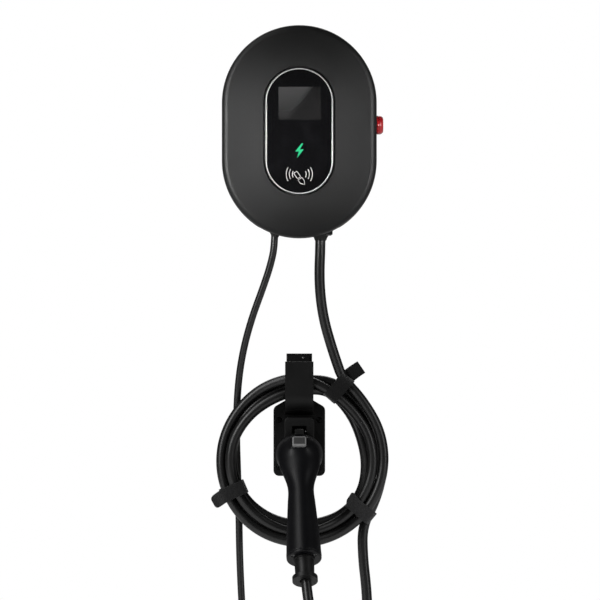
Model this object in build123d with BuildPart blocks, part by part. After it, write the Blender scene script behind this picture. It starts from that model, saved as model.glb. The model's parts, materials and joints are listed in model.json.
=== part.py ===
from build123d import *
import os
from math import cos, pi, radians, sin, sqrt, tan

os.makedirs("parts", exist_ok=True)

# The wall is the plane y = 0, the front looks along -Y, and the origin is the middle of the
# wallbox on the wall. Depths are distances off the wall. Millimetres throughout.

# Wallbox housing
box_radius = 120.0
half_straight = 45.0
wall = 3.0
rear_rim = 1.0
recess_depth = 8.0
recess_radius = box_radius - 25.0
parting = 62.0
cover_face = 101.0
dome_rise = 1.6
side_draft = 1.4
edge_roll = 9.0
flange_width = 10.0
flange_depth = 7.0
gasket_width = 3.0
gasket_depth = 2.5
slip = 0.3

# Ledge under the rear housing that carries the cable glands
ledge_rise = 37.0
ledge_height = ledge_rise - half_straight - box_radius
ledge_half_width = 62.0
ledge_front = 58.0
gland_depth = 40.0
gland_inside = 13.0
cable_entry = 9.0

# Wall bracket
bracket_width = 2 * (recess_radius - 20.0)
bracket_height = 2 * (recess_radius - 10.0)
bracket_sheet = 2.0
bracket_corner = 10.0
bracket_window = (70.0, 60.0)
bracket_hole_radius = 3.3
bracket_hole_margin = 15.0
bracket_hole_x = bracket_width / 2 - bracket_hole_margin
bracket_hole_z = bracket_height / 2 - bracket_hole_margin
hook_x = bracket_width / 2 - 30.0
hook_heights = (52.0, -52.0)
hook_width = 18.0
hook_rise = 11.0
hook_reach = 7.2

# Cover screws
boss_radius = 6.5
boss_sink = 2.5
boss_ring = box_radius - flange_width - boss_radius + boss_sink
screw_radius = 2.0
screw_head_radius = 3.8
screw_head_height = 2.6
screw_length = 18.0
boss_front = 84.0
side_boss_height = -30.0

# Display
panel_radius = 50.2
ring_width = 2.8
ring_gap = 2.3
panel_thick = 5.0
ring_thick = 6.2
pocket_floor = 97.0
lcd_width = 72.0
lcd_height = 57.0
lcd_centre = 44.3
display_board_radius = 42.0
display_standoff = 4.0
display_screw_points = ((-18.0, 79.5), (18.0, 79.5), (-32.0, -50.0), (32.0, -50.0))
board_thick = 1.6
antenna_width = 52.0
antenna_height = 40.0
antenna_centre = -62.0
antenna_track = 4.0
antenna_thick = 0.8

# Power board and what stands on it
board_to_ledge = 33.0
control_width = 2 * (box_radius - 45.0)
control_height = -2 * (ledge_height + board_to_ledge)
control_corner = 8.0
control_standoff = 6.0
standoff_radius = 3.5
standoff_margin = 7.0
standoff_x = control_width / 2 - standoff_margin
standoff_z = control_height / 2 - standoff_margin
board_screw_radius = 1.4
board_screw_head = 2.6
board_screw_head_height = 1.8
plug_block = (24.0, 7.0)
plug_block_height = 6.0
plug_block_centre = -20.0
chip_size = 8.0
power_supply_size = (62.0, 42.0, 26.0)
power_supply_place = (-38.0, control_height / 2 - 40.0)
relay_size = (30.0, 50.0, 36.0)
relay_label = (20.0, 34.0)
relay_columns = (22.0, 56.0)
relay_row = control_height / 2 - 43.0
sensor_radius = 21.0
sensor_bore = 9.0
sensor_foot = (34.0, 10.0)
sensor_length = 18.0
sensor_bottom = 47.0 - control_height / 2

# Emergency stop, on an axis along X
stop_height = 11.4
stop_depth = 38.0
stop_head_radius = 15.0
stop_head_reach = 10.6
stop_head_length = 13.2
stop_head_gap = 0.6
stop_base_radius = stop_head_radius - 2
stop_nut_corner = 13.5
stop_cup_depth = 8.0
stop_barrel_radius = 8.0
stop_shaft_radius = 4.0
stop_block_size = 30.0

# Supply cable and charging cable
supply_cable_radius = 5.0
charge_cable_radius = 8.0
supply_gland_x = -37.5
charge_gland_x = 33.0
gland_flange = 6.0
gland_collar = 9.0
supply_nut_bottom = ledge_height - 27.0
charge_nut_bottom = ledge_height - 32.5

# Coil of the charging cable on the hook
coil_x = 4.6
coil_height = -511.6
coil_outer = 134.0
coil_inner = 99.0
coil_back = 13.6
coil_thick = 34.0
coil_corner = 9.0

# Wall holster
plate_width = 80.6
plate_top = -428.0
plate_bottom = -535.0
plate_thick = 10.0
plate_corner = 9.0
neck_width = 40.0
neck_top = -344.0
neck_thick = 12.8
shoulder_height = -416.0
lip_width = 44.0
lip_top = -356.0
lip_wall = 4.0
cradle_corner = 8.0
gusset_bottom = -440.0
gusset_rise = 10.0
gusset_radius = 26.0
plate_hole_x = plate_width / 2 - 9.1
plate_hole_top = plate_top - 19.5
plate_hole_bottom = plate_bottom + 14.0
plate_hole_radius = 2.75
plate_counterbore_radius = 4.75
plate_counterbore_depth = 4.0
cap_width = 46.0
cap_top = -443.0
cap_front = 50.0
cap_corner = 7.0
window_width = 22.4
window_top = -456.0
window_bottom = -468.0
pocket_width = 28.0
pocket_top = -452.0
pocket_bottom = -470.6
pocket_back = 28.0
socket_outer = 31.0
socket_clearance = 0.5

# Charging connector
plug_height = -499.0
shroud_radius = 25.5
shroud_wall = 2.5
shroud_back = 14.0
head_back = 52.6
head_half_width = 36.2
head_half_height = 31.0
carrier_radius = 20.0
carrier_back_radius = 18.0
carrier_back_length = 14.0
head_straight = 25.4
elbow_depth = 85.0
pin_ring_radius = 12.5
pin_radius = 3.2
pin_front = 20.0
handle_tilt = 32.0
handle_lean = 2.7
handle_end_depth = 181.0
handle_end_height = -653.0
handle_end_radius = 27.3
cap_thick = 4.0
tail_gland_radius = 15.3
tail_gland_length = 38.0
tail_bell_radius = 19.5
tail_bell_length = 7.0
seal_thick = 2.2

# Latch of the connector
latch_width = 14.0
latch_thick = 4.5
latch_top = -461.5
latch_tip = 36.0
barb_length = 7.0
barb_bottom = -469.8
pivot_depth = 68.0
pivot_height = -475.5
pivot_radius = 1.5
pin_clearance = 0.06
button_width = 21.5
button_length = 18.0
button_corner = 3.5
button_pocket = 8.4
button_base = 5.0
button_proud = 1.8
pin_length = latch_width + 10

# Hook-and-loop straps round the coil
strap_width = 21.0
strap_thick = 2.0
strap_clearance = 0.6
strap_angles = (30.5, 246.5, 129.5)
strap_reaches = (19.0, 0.0, 0.0)
strap_tails = (17.0, 16.0, 6.0)
strap_tail_thick = 4.0


def off_wall(distance):
    """Plane parallel to the wall at this distance, looking into the room."""
    return Plane.XZ.offset(distance)


def keep(piece, name):
    """Label one finished piece and write it to its own file."""
    piece.part.label = name
    export_step(piece.part, f"parts/{name}.step")


def stadium(radius):
    """Outline of the wallbox family: two half circles round one upright spine."""
    SlotCenterToCenter(2 * half_straight, 2 * radius, rotation=90)


def carry_round(section, mode=Mode.ADD):
    """Carry a half section, drawn in radius and depth, round the stadium."""
    low = section.sketch.moved(Location((0, 0, -half_straight)))
    high = section.sketch.moved(Location((0, 0, half_straight)))
    revolve(high.faces(), axis=Axis((0, 0, half_straight), (0, -1, 0)), revolution_arc=180, mode=mode)
    revolve(low.faces(), axis=Axis((0, 0, -half_straight), (0, 1, 0)), revolution_arc=180, mode=mode)
    extrude(low.faces(), amount=2 * half_straight, dir=(0, 0, 1), mode=mode)
    extrude(low.mirror(Plane.YZ).faces(), amount=2 * half_straight, dir=(0, 0, 1), mode=mode)


def cable(name, points, radius):
    """Round cable along straight runs joined by arcs as large as the runs allow."""
    runs = [(Vector(*b) - Vector(*a)) for a, b in zip(points, points[1:])]
    radii = []
    for before, after in zip(runs, runs[1:]):
        half_turn = radians(before.get_angle(after)) / 2
        radii.append(0.45 * min(before.length, after.length) / tan(half_turn))
    with BuildPart() as tube:
        with BuildLine() as route:
            FilletPolyline(*points, radius=radii)
        with BuildSketch(Plane(origin=points[0], z_dir=runs[0])):
            Circle(radius)
        sweep(path=route.wires()[0])
    length = route.wires()[0].length
    expected = pi * radius**2 * length
    print(f"{name}: length {length:.1f}, volume ratio {tube.part.volume / expected:.4f}, radii",
          " ".join(f"{r:.0f}" for r in radii))
    keep(tube, name)


def in_room(x, depth, height):
    """Point given by its side, its distance off the wall and its height."""
    return (x, -depth, height)


rear_floor = recess_depth + wall
cover_bosses = [
    (side * boss_ring, side_boss_height) for side in (-1, 1)
] + [
    (side * boss_ring * cos(radians(45)), end * (half_straight + boss_ring * sin(radians(45))))
    for side in (-1, 1) for end in (-1, 1)
]
stop_plane = Plane(origin=(0, -stop_depth, stop_height), z_dir=(1, 0, 0))
stop_floor = box_radius - stop_cup_depth

# Wall bracket: a steel plate with four folded hooks
with BuildPart() as wall_bracket:
    with BuildSketch(off_wall(0)):
        RectangleRounded(bracket_width, bracket_height, bracket_corner)
        RectangleRounded(*bracket_window, bracket_corner, mode=Mode.SUBTRACT)
        with GridLocations(2 * bracket_hole_x, 2 * bracket_hole_z, 2, 2):
            Circle(bracket_hole_radius, mode=Mode.SUBTRACT)
    extrude(amount=bracket_sheet)
    for height in hook_heights:
        with BuildSketch(Plane.YZ.offset(hook_x - hook_width / 2)) as hook_side:
            with BuildLine():
                Polyline(
                    (-bracket_sheet, height),
                    (-hook_reach, height),
                    (-hook_reach, height + hook_rise),
                    (-hook_reach + bracket_sheet, height + hook_rise),
                    (-hook_reach + bracket_sheet, height + bracket_sheet),
                    (-bracket_sheet, height + bracket_sheet),
                    close=True,
                )
            make_face()
        extrude(amount=hook_width)
        mirror(extrude(hook_side.sketch, amount=hook_width, mode=Mode.PRIVATE), about=Plane.YZ)
keep(wall_bracket, "wall_bracket")

# Rear housing: a moulded shell with a bracket recess, hook catches, gland ledge and bosses
inner_radius = box_radius - wall
flange_radius = box_radius - flange_width
with BuildPart() as rear_housing:
    with BuildSketch(off_wall(rear_rim)):
        stadium(box_radius)
    extrude(amount=parting - rear_rim)
    with BuildSketch(off_wall(0)):
        stadium(recess_radius)
    extrude(amount=recess_depth, mode=Mode.SUBTRACT)
    with BuildSketch(off_wall(0)):
        with Locations((0, ledge_height - box_radius / 2)):
            Rectangle(2 * ledge_half_width, box_radius)
    extrude(amount=ledge_front, mode=Mode.SUBTRACT)
    ledge_guard_z = ledge_height + wall - box_radius / 2
    with BuildSketch(off_wall(rear_floor)):
        stadium(inner_radius)
        with Locations((0, ledge_guard_z)):
            Rectangle(2 * (ledge_half_width + wall), box_radius, mode=Mode.SUBTRACT)
    extrude(amount=parting - flange_depth - rear_floor, mode=Mode.SUBTRACT)
    with BuildSketch(off_wall(rear_rim + wall)):
        stadium(inner_radius)
        SlotCenterToCenter(
            2 * half_straight, 2 * (recess_radius + wall), rotation=90, mode=Mode.SUBTRACT
        )
        with Locations((0, ledge_guard_z)):
            Rectangle(2 * (ledge_half_width + wall), box_radius, mode=Mode.SUBTRACT)
    extrude(amount=rear_floor - rear_rim - wall, mode=Mode.SUBTRACT)
    with BuildSketch(off_wall(parting - flange_depth)):
        stadium(flange_radius)
        with Locations((0, ledge_guard_z)):
            Rectangle(2 * (ledge_half_width + wall), box_radius, mode=Mode.SUBTRACT)
    extrude(amount=flange_depth - 1, mode=Mode.SUBTRACT)
    with BuildSketch(off_wall(ledge_front + wall)):
        stadium(flange_radius)
    extrude(amount=parting - ledge_front - wall, mode=Mode.SUBTRACT)
    with BuildSketch(off_wall(parting - gasket_depth)):
        stadium(box_radius - wall - 1.5)
        SlotCenterToCenter(
            2 * half_straight, 2 * (box_radius - wall - 1.5 - gasket_width), rotation=90,
            mode=Mode.SUBTRACT,
        )
    extrude(amount=gasket_depth, mode=Mode.SUBTRACT)
    with BuildSketch(off_wall(rear_rim + wall)):
        with Locations(*cover_bosses):
            Circle(boss_radius)
    extrude(amount=parting - rear_rim - wall)
    with BuildSketch(off_wall(0)):
        with Locations(*cover_bosses):
            Circle(screw_radius + slip)
    extrude(amount=parting, mode=Mode.SUBTRACT)
    with BuildSketch(off_wall(0)):
        with Locations(*cover_bosses):
            Circle(screw_head_radius + slip)
    extrude(amount=parting - flange_depth, mode=Mode.SUBTRACT)
    with BuildSketch(off_wall(rear_floor)):
        with GridLocations(2 * standoff_x, 2 * standoff_z, 2, 2):
            Circle(standoff_radius)
            Circle(board_screw_radius, mode=Mode.SUBTRACT)
    extrude(amount=control_standoff)
    for height in hook_heights:
        bar_centre = height + bracket_sheet + 2.5
        with BuildSketch(off_wall(bracket_sheet + slip)):
            with Locations((-hook_x, bar_centre), (hook_x, bar_centre)):
                Rectangle(hook_width + 8, 5)
        extrude(amount=hook_reach - 2 * bracket_sheet - 2 * slip)
        with BuildSketch(off_wall(bracket_sheet + slip)):
            for side in (-1, 1):
                cheek = hook_width / 2 + 2.5
                with Locations((side * hook_x - cheek, bar_centre), (side * hook_x + cheek, bar_centre)):
                    Rectangle(3, 5)
        extrude(amount=recess_depth - bracket_sheet - slip)
    with BuildSketch(stop_plane.offset(stop_floor - wall)):
        Circle(stop_head_radius + stop_head_gap + wall)
    extrude(amount=stop_cup_depth + wall / 2)
    with BuildSketch(stop_plane.offset(stop_floor)):
        Circle(stop_head_radius + stop_head_gap)
    extrude(amount=2 * stop_cup_depth, mode=Mode.SUBTRACT)
    with BuildSketch(stop_plane.offset(stop_floor - 2 * wall)):
        Circle(stop_barrel_radius + 0.1)
    extrude(amount=3 * wall, mode=Mode.SUBTRACT)
    with BuildSketch(Plane.XY.offset(ledge_height - 1)):
        with Locations((charge_gland_x, -gland_depth)):
            Circle(charge_cable_radius + 4.5 + 0.1)
        with Locations((supply_gland_x, -gland_depth)):
            Circle(supply_cable_radius + 3.5 + 0.1)
    extrude(amount=wall + 2, mode=Mode.SUBTRACT)
keep(rear_housing, "rear_housing")

# Gasket in its groove round the parting line
with BuildPart() as housing_gasket:
    with BuildSketch(off_wall(parting - gasket_depth)):
        stadium(box_radius - wall - 1.6)
        SlotCenterToCenter(
            2 * half_straight, 2 * (box_radius - wall - 1.4 - gasket_width), rotation=90,
            mode=Mode.SUBTRACT,
        )
    extrude(amount=gasket_depth)
keep(housing_gasket, "housing_gasket")

# Front cover: one half section carried round the stadium, with the display pocket
pocket_radius = panel_radius + ring_width + ring_gap
face_radius = box_radius - side_draft
inner_face = cover_face - wall
with BuildSketch(Plane.XY) as cover_section:
    with BuildLine():
        Polyline(
            (0, -pocket_floor),
            (pocket_radius, -pocket_floor),
            (pocket_radius, -cover_face - dome_rise),
            (face_radius - edge_roll, -cover_face),
            (face_radius, -cover_face + 0.4),
            (box_radius, -parting),
            (flange_radius, -parting),
            (flange_radius, -parting - wall),
            (inner_radius, -parting - wall - 2),
            (face_radius - wall, -inner_face + 0.4),
            (pocket_radius + wall, -inner_face - dome_rise),
            (pocket_radius + wall, -pocket_floor + wall),
            (0, -pocket_floor + wall),
            close=True,
        )
    make_face()
    outer_corner = (face_radius, -cover_face + 0.4, 0)
    fillet(cover_section.vertices().sort_by_distance(outer_corner)[0], radius=edge_roll)
    inner_corner = (face_radius - wall, -inner_face + 0.4, 0)
    fillet(cover_section.vertices().sort_by_distance(inner_corner)[0], radius=edge_roll - wall)
with BuildPart() as front_cover:
    carry_round(cover_section)
    with BuildSketch(off_wall(pocket_floor - wall)):
        with Locations((0, lcd_centre)):
            Rectangle(lcd_width + 2 * slip, lcd_height + 2 * slip)
    extrude(amount=2 * wall, mode=Mode.SUBTRACT)
    with BuildSketch(off_wall(parting)):
        with Locations(*cover_bosses):
            Circle(boss_radius)
            Circle(screw_radius - 0.3, mode=Mode.SUBTRACT)
    extrude(amount=boss_front - parting)
    for x, z in cover_bosses:
        with BuildSketch(off_wall(boss_front)):
            with Locations((x, z)):
                Circle(boss_radius)
        extrude(amount=cover_face - wall / 2 - boss_front)
    with BuildSketch(off_wall(pocket_floor - wall - display_standoff)):
        with Locations(*display_screw_points):
            Circle(standoff_radius)
            Circle(board_screw_radius, mode=Mode.SUBTRACT)
    extrude(amount=display_standoff)
keep(front_cover, "front_cover")

with BuildPart() as cover_screws:
    with BuildSketch(off_wall(parting - flange_depth - screw_head_height)):
        with Locations(*cover_bosses):
            Circle(screw_head_radius)
    extrude(amount=screw_head_height)
    with BuildSketch(off_wall(parting - flange_depth)):
        with Locations(*cover_bosses):
            Circle(screw_radius - 0.3)
    extrude(amount=screw_length)
    with BuildSketch(off_wall(parting - flange_depth - screw_head_height)):
        with Locations(*cover_bosses):
            RegularPolygon(1.6, 6)
    extrude(amount=screw_head_height * 0.6, mode=Mode.SUBTRACT)
keep(cover_screws, "cover_screws")

# Display stack: bright ring, glossy panel, screen, board and reader antenna
with BuildPart() as bezel_ring:
    with BuildSketch(off_wall(pocket_floor)):
        stadium(panel_radius + ring_width)
        SlotCenterToCenter(2 * half_straight, 2 * (panel_radius + 0.1), rotation=90, mode=Mode.SUBTRACT)
    extrude(amount=ring_thick)
    fillet(bezel_ring.faces().sort_by(Axis.Y)[0].edges(), radius=0.7)
keep(bezel_ring, "bezel_ring")

with BuildPart() as display_panel:
    with BuildSketch(off_wall(pocket_floor)):
        stadium(panel_radius)
    extrude(amount=panel_thick)
    fillet(display_panel.faces().sort_by(Axis.Y)[0].edges(), radius=0.5)
keep(display_panel, "display_panel")

display_board_front = pocket_floor - wall - display_standoff
with BuildPart() as lcd_module:
    with BuildSketch(off_wall(display_board_front)):
        with Locations((0, lcd_centre)):
            Rectangle(lcd_width, lcd_height)
    extrude(amount=pocket_floor - slip - display_board_front)
    with BuildSketch(off_wall(pocket_floor - slip - 0.6)):
        with Locations((0, lcd_centre)):
            Rectangle(lcd_width - 5, lcd_height - 5)
    extrude(amount=1, mode=Mode.SUBTRACT)
keep(lcd_module, "lcd_module")

with BuildPart() as display_board:
    with BuildSketch(off_wall(display_board_front - board_thick)):
        stadium(display_board_radius)
        with Locations(*display_screw_points):
            Circle(board_screw_radius + 0.1, mode=Mode.SUBTRACT)
    extrude(amount=board_thick)
    with BuildSketch(off_wall(display_board_front - board_thick - plug_block_height)):
        with Locations((0, plug_block_centre)):
            Rectangle(*plug_block)
    extrude(amount=plug_block_height)
keep(display_board, "display_board")

with BuildPart() as reader_antenna:
    with BuildSketch(off_wall(display_board_front)):
        with Locations((0, antenna_centre)):
            RectangleRounded(antenna_width, antenna_height, 6)
            RectangleRounded(
                antenna_width - 2 * antenna_track, antenna_height - 2 * antenna_track, 3,
                mode=Mode.SUBTRACT,
            )
    extrude(amount=antenna_thick)
keep(reader_antenna, "reader_antenna")

# Power board on its four pillars
board_back = rear_floor + control_standoff
board_front = board_back + board_thick
with BuildPart() as control_board:
    with BuildSketch(off_wall(board_back)):
        RectangleRounded(control_width, control_height, control_corner)
        with GridLocations(2 * standoff_x, 2 * standoff_z, 2, 2):
            Circle(board_screw_radius + 0.1, mode=Mode.SUBTRACT)
    extrude(amount=board_thick)
    with BuildSketch(off_wall(board_front)):
        with Locations((0, plug_block_centre)):
            Rectangle(*plug_block)
        with GridLocations(1.75 * chip_size, 1.5 * chip_size, 3, 2):
            Rectangle(chip_size, chip_size)
    extrude(amount=plug_block_height)
keep(control_board, "control_board")

with BuildPart() as board_screws:
    with BuildSketch(off_wall(board_front)):
        with GridLocations(2 * standoff_x, 2 * standoff_z, 2, 2):
            Circle(board_screw_head)
    extrude(amount=board_screw_head_height)
    with BuildSketch(off_wall(rear_floor + 0.5)):
        with GridLocations(2 * standoff_x, 2 * standoff_z, 2, 2):
            Circle(board_screw_radius - 0.05)
    extrude(amount=board_front - rear_floor - 0.5)
keep(board_screws, "board_screws")

with BuildPart() as display_screws:
    with BuildSketch(off_wall(display_board_front - board_thick - board_screw_head_height)):
        with Locations(*display_screw_points):
            Circle(board_screw_head)
    extrude(amount=board_screw_head_height)
    with BuildSketch(off_wall(display_board_front - board_thick)):
        with Locations(*display_screw_points):
            Circle(board_screw_radius - 0.05)
    extrude(amount=board_thick + display_standoff)
keep(display_screws, "display_screws")

ribbon_width = 0.75 * plug_block[0]
ribbon_back = board_front + plug_block_height
ribbon_front = display_board_front - board_thick - plug_block_height
with BuildPart() as display_ribbon:
    with BuildSketch(Plane.YZ.offset(-ribbon_width / 2)):
        with BuildLine():
            Polyline(
                (-ribbon_back, plug_block_centre),
                (-ribbon_back - 6, plug_block_centre),
                (-(ribbon_back + ribbon_front) / 2, plug_block_centre - 18),
                (-ribbon_front + 6, plug_block_centre),
                (-ribbon_front, plug_block_centre),
            )
        trace(line_width=0.8)
    extrude(amount=ribbon_width)
keep(display_ribbon, "display_ribbon")

with BuildPart() as power_supply:
    with BuildSketch(off_wall(board_front)):
        with Locations(power_supply_place):
            RectangleRounded(power_supply_size[0], power_supply_size[1], 2)
    extrude(amount=power_supply_size[2])
    chamfer(power_supply.faces().sort_by(Axis.Y)[0].edges(), length=1.5)
keep(power_supply, "power_supply")

for number, relay_x in enumerate(relay_columns, start=1):
    with BuildPart() as relay:
        with BuildSketch(off_wall(board_front)):
            with Locations((relay_x, relay_row)):
                RectangleRounded(relay_size[0], relay_size[1], 1.5)
        extrude(amount=relay_size[2])
        with BuildSketch(off_wall(board_front + relay_size[2])):
            with Locations((relay_x, relay_row)):
                Rectangle(*relay_label)
        extrude(amount=-1, mode=Mode.SUBTRACT)
    keep(relay, f"relay_{number}")

with BuildPart() as current_sensor:
    with BuildSketch(Plane.XY.offset(sensor_bottom)):
        with Locations((charge_gland_x, -board_front - sensor_radius)):
            Circle(sensor_radius)
        with Locations((charge_gland_x, -board_front - sensor_foot[1] / 2)):
            Rectangle(*sensor_foot)
        with Locations((charge_gland_x, -board_front - sensor_radius)):
            Circle(sensor_bore, mode=Mode.SUBTRACT)
    extrude(amount=sensor_length)
keep(current_sensor, "current_sensor")

# Terminal blocks with one entry for each wire
terminal_bottom = -control_height / 2
terminal_height = 22.0
terminal_pitch = 10.0
terminal_depth = 20.0
wire_radius = 1.4
wire_clearance = 0.9
wire_depth = board_front + 9
for name, block_x, ways in (
    ("supply_terminal", supply_gland_x, 3),
    ("charge_terminal", charge_gland_x, 5),
):
    with BuildPart() as block:
        with BuildSketch(off_wall(board_front)):
            with Locations((block_x, terminal_bottom + terminal_height / 2)):
                Rectangle(ways * terminal_pitch, terminal_height)
        extrude(amount=terminal_depth)
        chamfer(block.edges().filter_by(Axis.X).sort_by(Axis.Y)[:2], length=4)
        with BuildSketch(Plane.XY.offset(terminal_bottom)):
            with Locations((block_x, -wire_depth)):
                with GridLocations(terminal_pitch, 1, ways, 1):
                    Circle(wire_radius + wire_clearance)
        extrude(amount=14, mode=Mode.SUBTRACT)
        with BuildSketch(off_wall(board_front + terminal_depth)):
            with Locations((block_x, terminal_bottom + terminal_height / 2)):
                with GridLocations(terminal_pitch, 1, ways, 1):
                    Circle(2.4)
        extrude(amount=-6, mode=Mode.SUBTRACT)
    keep(block, name)

# Wires from the cable ends in the glands up to the terminals
for name, gland_x, ways, spread in (
    ("supply_wires", supply_gland_x, 3, 2.6),
    ("charge_wires", charge_gland_x, 5, 3.0),
):
    with BuildPart() as wires:
        for way in range(ways):
            offset_from_middle = way - (ways - 1) / 2
            top_x = gland_x + offset_from_middle * terminal_pitch
            foot_x = gland_x + offset_from_middle * spread
            top = in_room(top_x, wire_depth, terminal_bottom + 8)
            below_top = in_room(top_x, wire_depth, terminal_bottom - 5)
            above_foot = in_room(foot_x, gland_depth, ledge_height + gland_inside + 6)
            foot = in_room(foot_x, gland_depth, ledge_height + cable_entry)
            with BuildLine() as wire_route:
                FilletPolyline(foot, above_foot, below_top, top, radius=3.5)
            with BuildSketch(Plane(origin=foot, z_dir=(0, 0, 1))):
                Circle(wire_radius)
            sweep(path=wire_route.wires()[0])
    keep(wires, name)

# Emergency stop: mushroom head, shaft, barrel, lock nut and contact block
head_top = box_radius + stop_head_reach
head_bottom = head_top - stop_head_length
with BuildPart() as stop_head:
    with BuildSketch(
        Plane(origin=stop_plane.origin, x_dir=(0, 0, 1), z_dir=(0, 1, 0))
    ) as head_section:
        with BuildLine():
            Polyline(
                (0, head_bottom),
                (stop_head_radius - 1, head_bottom),
                (stop_head_radius - 1, head_bottom + 4.2),
                (stop_head_radius, head_bottom + 5.0),
                (stop_head_radius, head_top - 5.4),
                (stop_head_radius - 0.8, head_top - 4.8),
                (stop_head_radius - 0.5, head_top - 4.2),
                (stop_head_radius - 0.7, head_top - 1),
                (0, head_top),
                close=True,
            )
        make_face()
    revolve(axis=Axis(stop_plane.origin, (1, 0, 0)))
    crown = stop_head.edges().filter_by(GeomType.CIRCLE).group_by(Axis.X)[-1]
    fillet(crown, radius=3.2)
    with BuildSketch(stop_plane.offset(head_bottom)):
        Circle(stop_shaft_radius + 0.03)
    extrude(amount=8, mode=Mode.SUBTRACT)
keep(stop_head, "estop_head")

shaft_inner = stop_floor - 26
with BuildPart() as stop_shaft:
    with BuildSketch(stop_plane.offset(shaft_inner)):
        Circle(stop_shaft_radius)
    extrude(amount=head_bottom + 7.7 - shaft_inner)
    chamfer(stop_shaft.faces().sort_by(Axis.X)[0].edges(), length=0.6)
keep(stop_shaft, "estop_plunger")

barrel_inner = stop_floor - 20
with BuildPart() as stop_barrel:
    with BuildSketch(stop_plane.offset(barrel_inner)):
        Circle(stop_barrel_radius)
    extrude(amount=stop_floor - barrel_inner)
    with BuildSketch(stop_plane.offset(stop_floor)):
        Circle(stop_base_radius)
    extrude(amount=1.0)
    with BuildSketch(stop_plane.offset(barrel_inner)):
        Circle(stop_shaft_radius + 0.05)
    extrude(amount=30, mode=Mode.SUBTRACT)
keep(stop_barrel, "estop_barrel")

with BuildPart() as stop_nut:
    with BuildSketch(stop_plane.offset(stop_floor - wall)):
        RegularPolygon(stop_nut_corner, 6)
        Circle(stop_barrel_radius + 0.02, mode=Mode.SUBTRACT)
    extrude(amount=-4.5)
keep(stop_nut, "estop_locknut")

with BuildPart() as stop_block:
    with BuildSketch(stop_plane.offset(barrel_inner - stop_block_size)):
        RectangleRounded(stop_block_size, stop_block_size, 2)
    extrude(amount=stop_block_size)
    with BuildSketch(stop_plane.offset(barrel_inner)):
        Circle(stop_shaft_radius + 0.5)
    extrude(amount=-14, mode=Mode.SUBTRACT)
    with BuildSketch(stop_plane.offset(barrel_inner - stop_block_size)):
        with GridLocations(14, 14, 2, 2):
            Circle(2.2)
    extrude(amount=5, mode=Mode.SUBTRACT)
keep(stop_block, "estop_contact_block")


def cable_gland(prefix, gland_x, cable_radius, thread_radius, body_corner, nut_corner, nut_bottom):
    """Body, dome nut, seal and lock nut on one upright axis through the ledge."""
    middle = (gland_x, -gland_depth)
    flange_bottom = ledge_height - gland_flange
    bore = cable_radius + 0.3
    seal_length = 8
    with BuildPart() as body:
        with BuildSketch(Plane.XY.offset(ledge_height)):
            with Locations(middle):
                Circle(thread_radius)
                Circle(bore, mode=Mode.SUBTRACT)
        extrude(amount=gland_inside)
        with BuildSketch(Plane.XY.offset(ledge_height)):
            with Locations(middle):
                RegularPolygon(body_corner, 6)
                Circle(bore, mode=Mode.SUBTRACT)
        extrude(amount=-gland_flange)
        with BuildSketch(Plane.XY.offset(flange_bottom)):
            with Locations(middle):
                Circle(thread_radius - 0.5)
                Circle(bore, mode=Mode.SUBTRACT)
        extrude(amount=-gland_collar)
    keep(body, f"{prefix}_gland_body")
    nut_top = flange_bottom - 1
    dome = 8
    with BuildPart() as nut:
        with BuildSketch(Plane.XY.offset(nut_top)):
            with Locations(middle):
                RegularPolygon(nut_corner, 6)
        extrude(amount=nut_bottom - nut_top)
        with BuildSketch(Plane.XY.offset(nut_top)):
            with Locations(middle):
                Circle(thread_radius - 0.5 + 0.04)
        extrude(amount=nut_bottom + dome - nut_top, mode=Mode.SUBTRACT)
        with BuildSketch(Plane.XY.offset(nut_bottom)):
            with Locations(middle):
                Circle(bore)
        extrude(amount=dome, mode=Mode.SUBTRACT)
        chamfer(nut.faces().sort_by(Axis.Z)[0].outer_wire().edges(), length=2.2)
    keep(nut, f"{prefix}_gland_nut")
    with BuildPart() as seal:
        with BuildSketch(Plane.XY.offset(flange_bottom - gland_collar)):
            with Locations(middle):
                Circle(thread_radius - 0.7)
                Circle(cable_radius + 0.05, mode=Mode.SUBTRACT)
        extrude(amount=nut_bottom + dome - flange_bottom + gland_collar)
    keep(seal, f"{prefix}_gland_seal")
    with BuildPart() as locknut:
        with BuildSketch(Plane.XY.offset(ledge_height + wall)):
            with Locations(middle):
                RegularPolygon(body_corner - 0.6, 6)
                Circle(thread_radius + 0.02, mode=Mode.SUBTRACT)
        extrude(amount=4.5)
    keep(locknut, f"{prefix}_gland_locknut")


charge_thread = charge_cable_radius + 4.5
supply_thread = supply_cable_radius + 3.5
cable_gland("charge", charge_gland_x, charge_cable_radius, charge_thread, 19.0, 18.8, charge_nut_bottom)
cable_gland("supply", supply_gland_x, supply_cable_radius, supply_thread, 13.6, 12.2, supply_nut_bottom)

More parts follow.
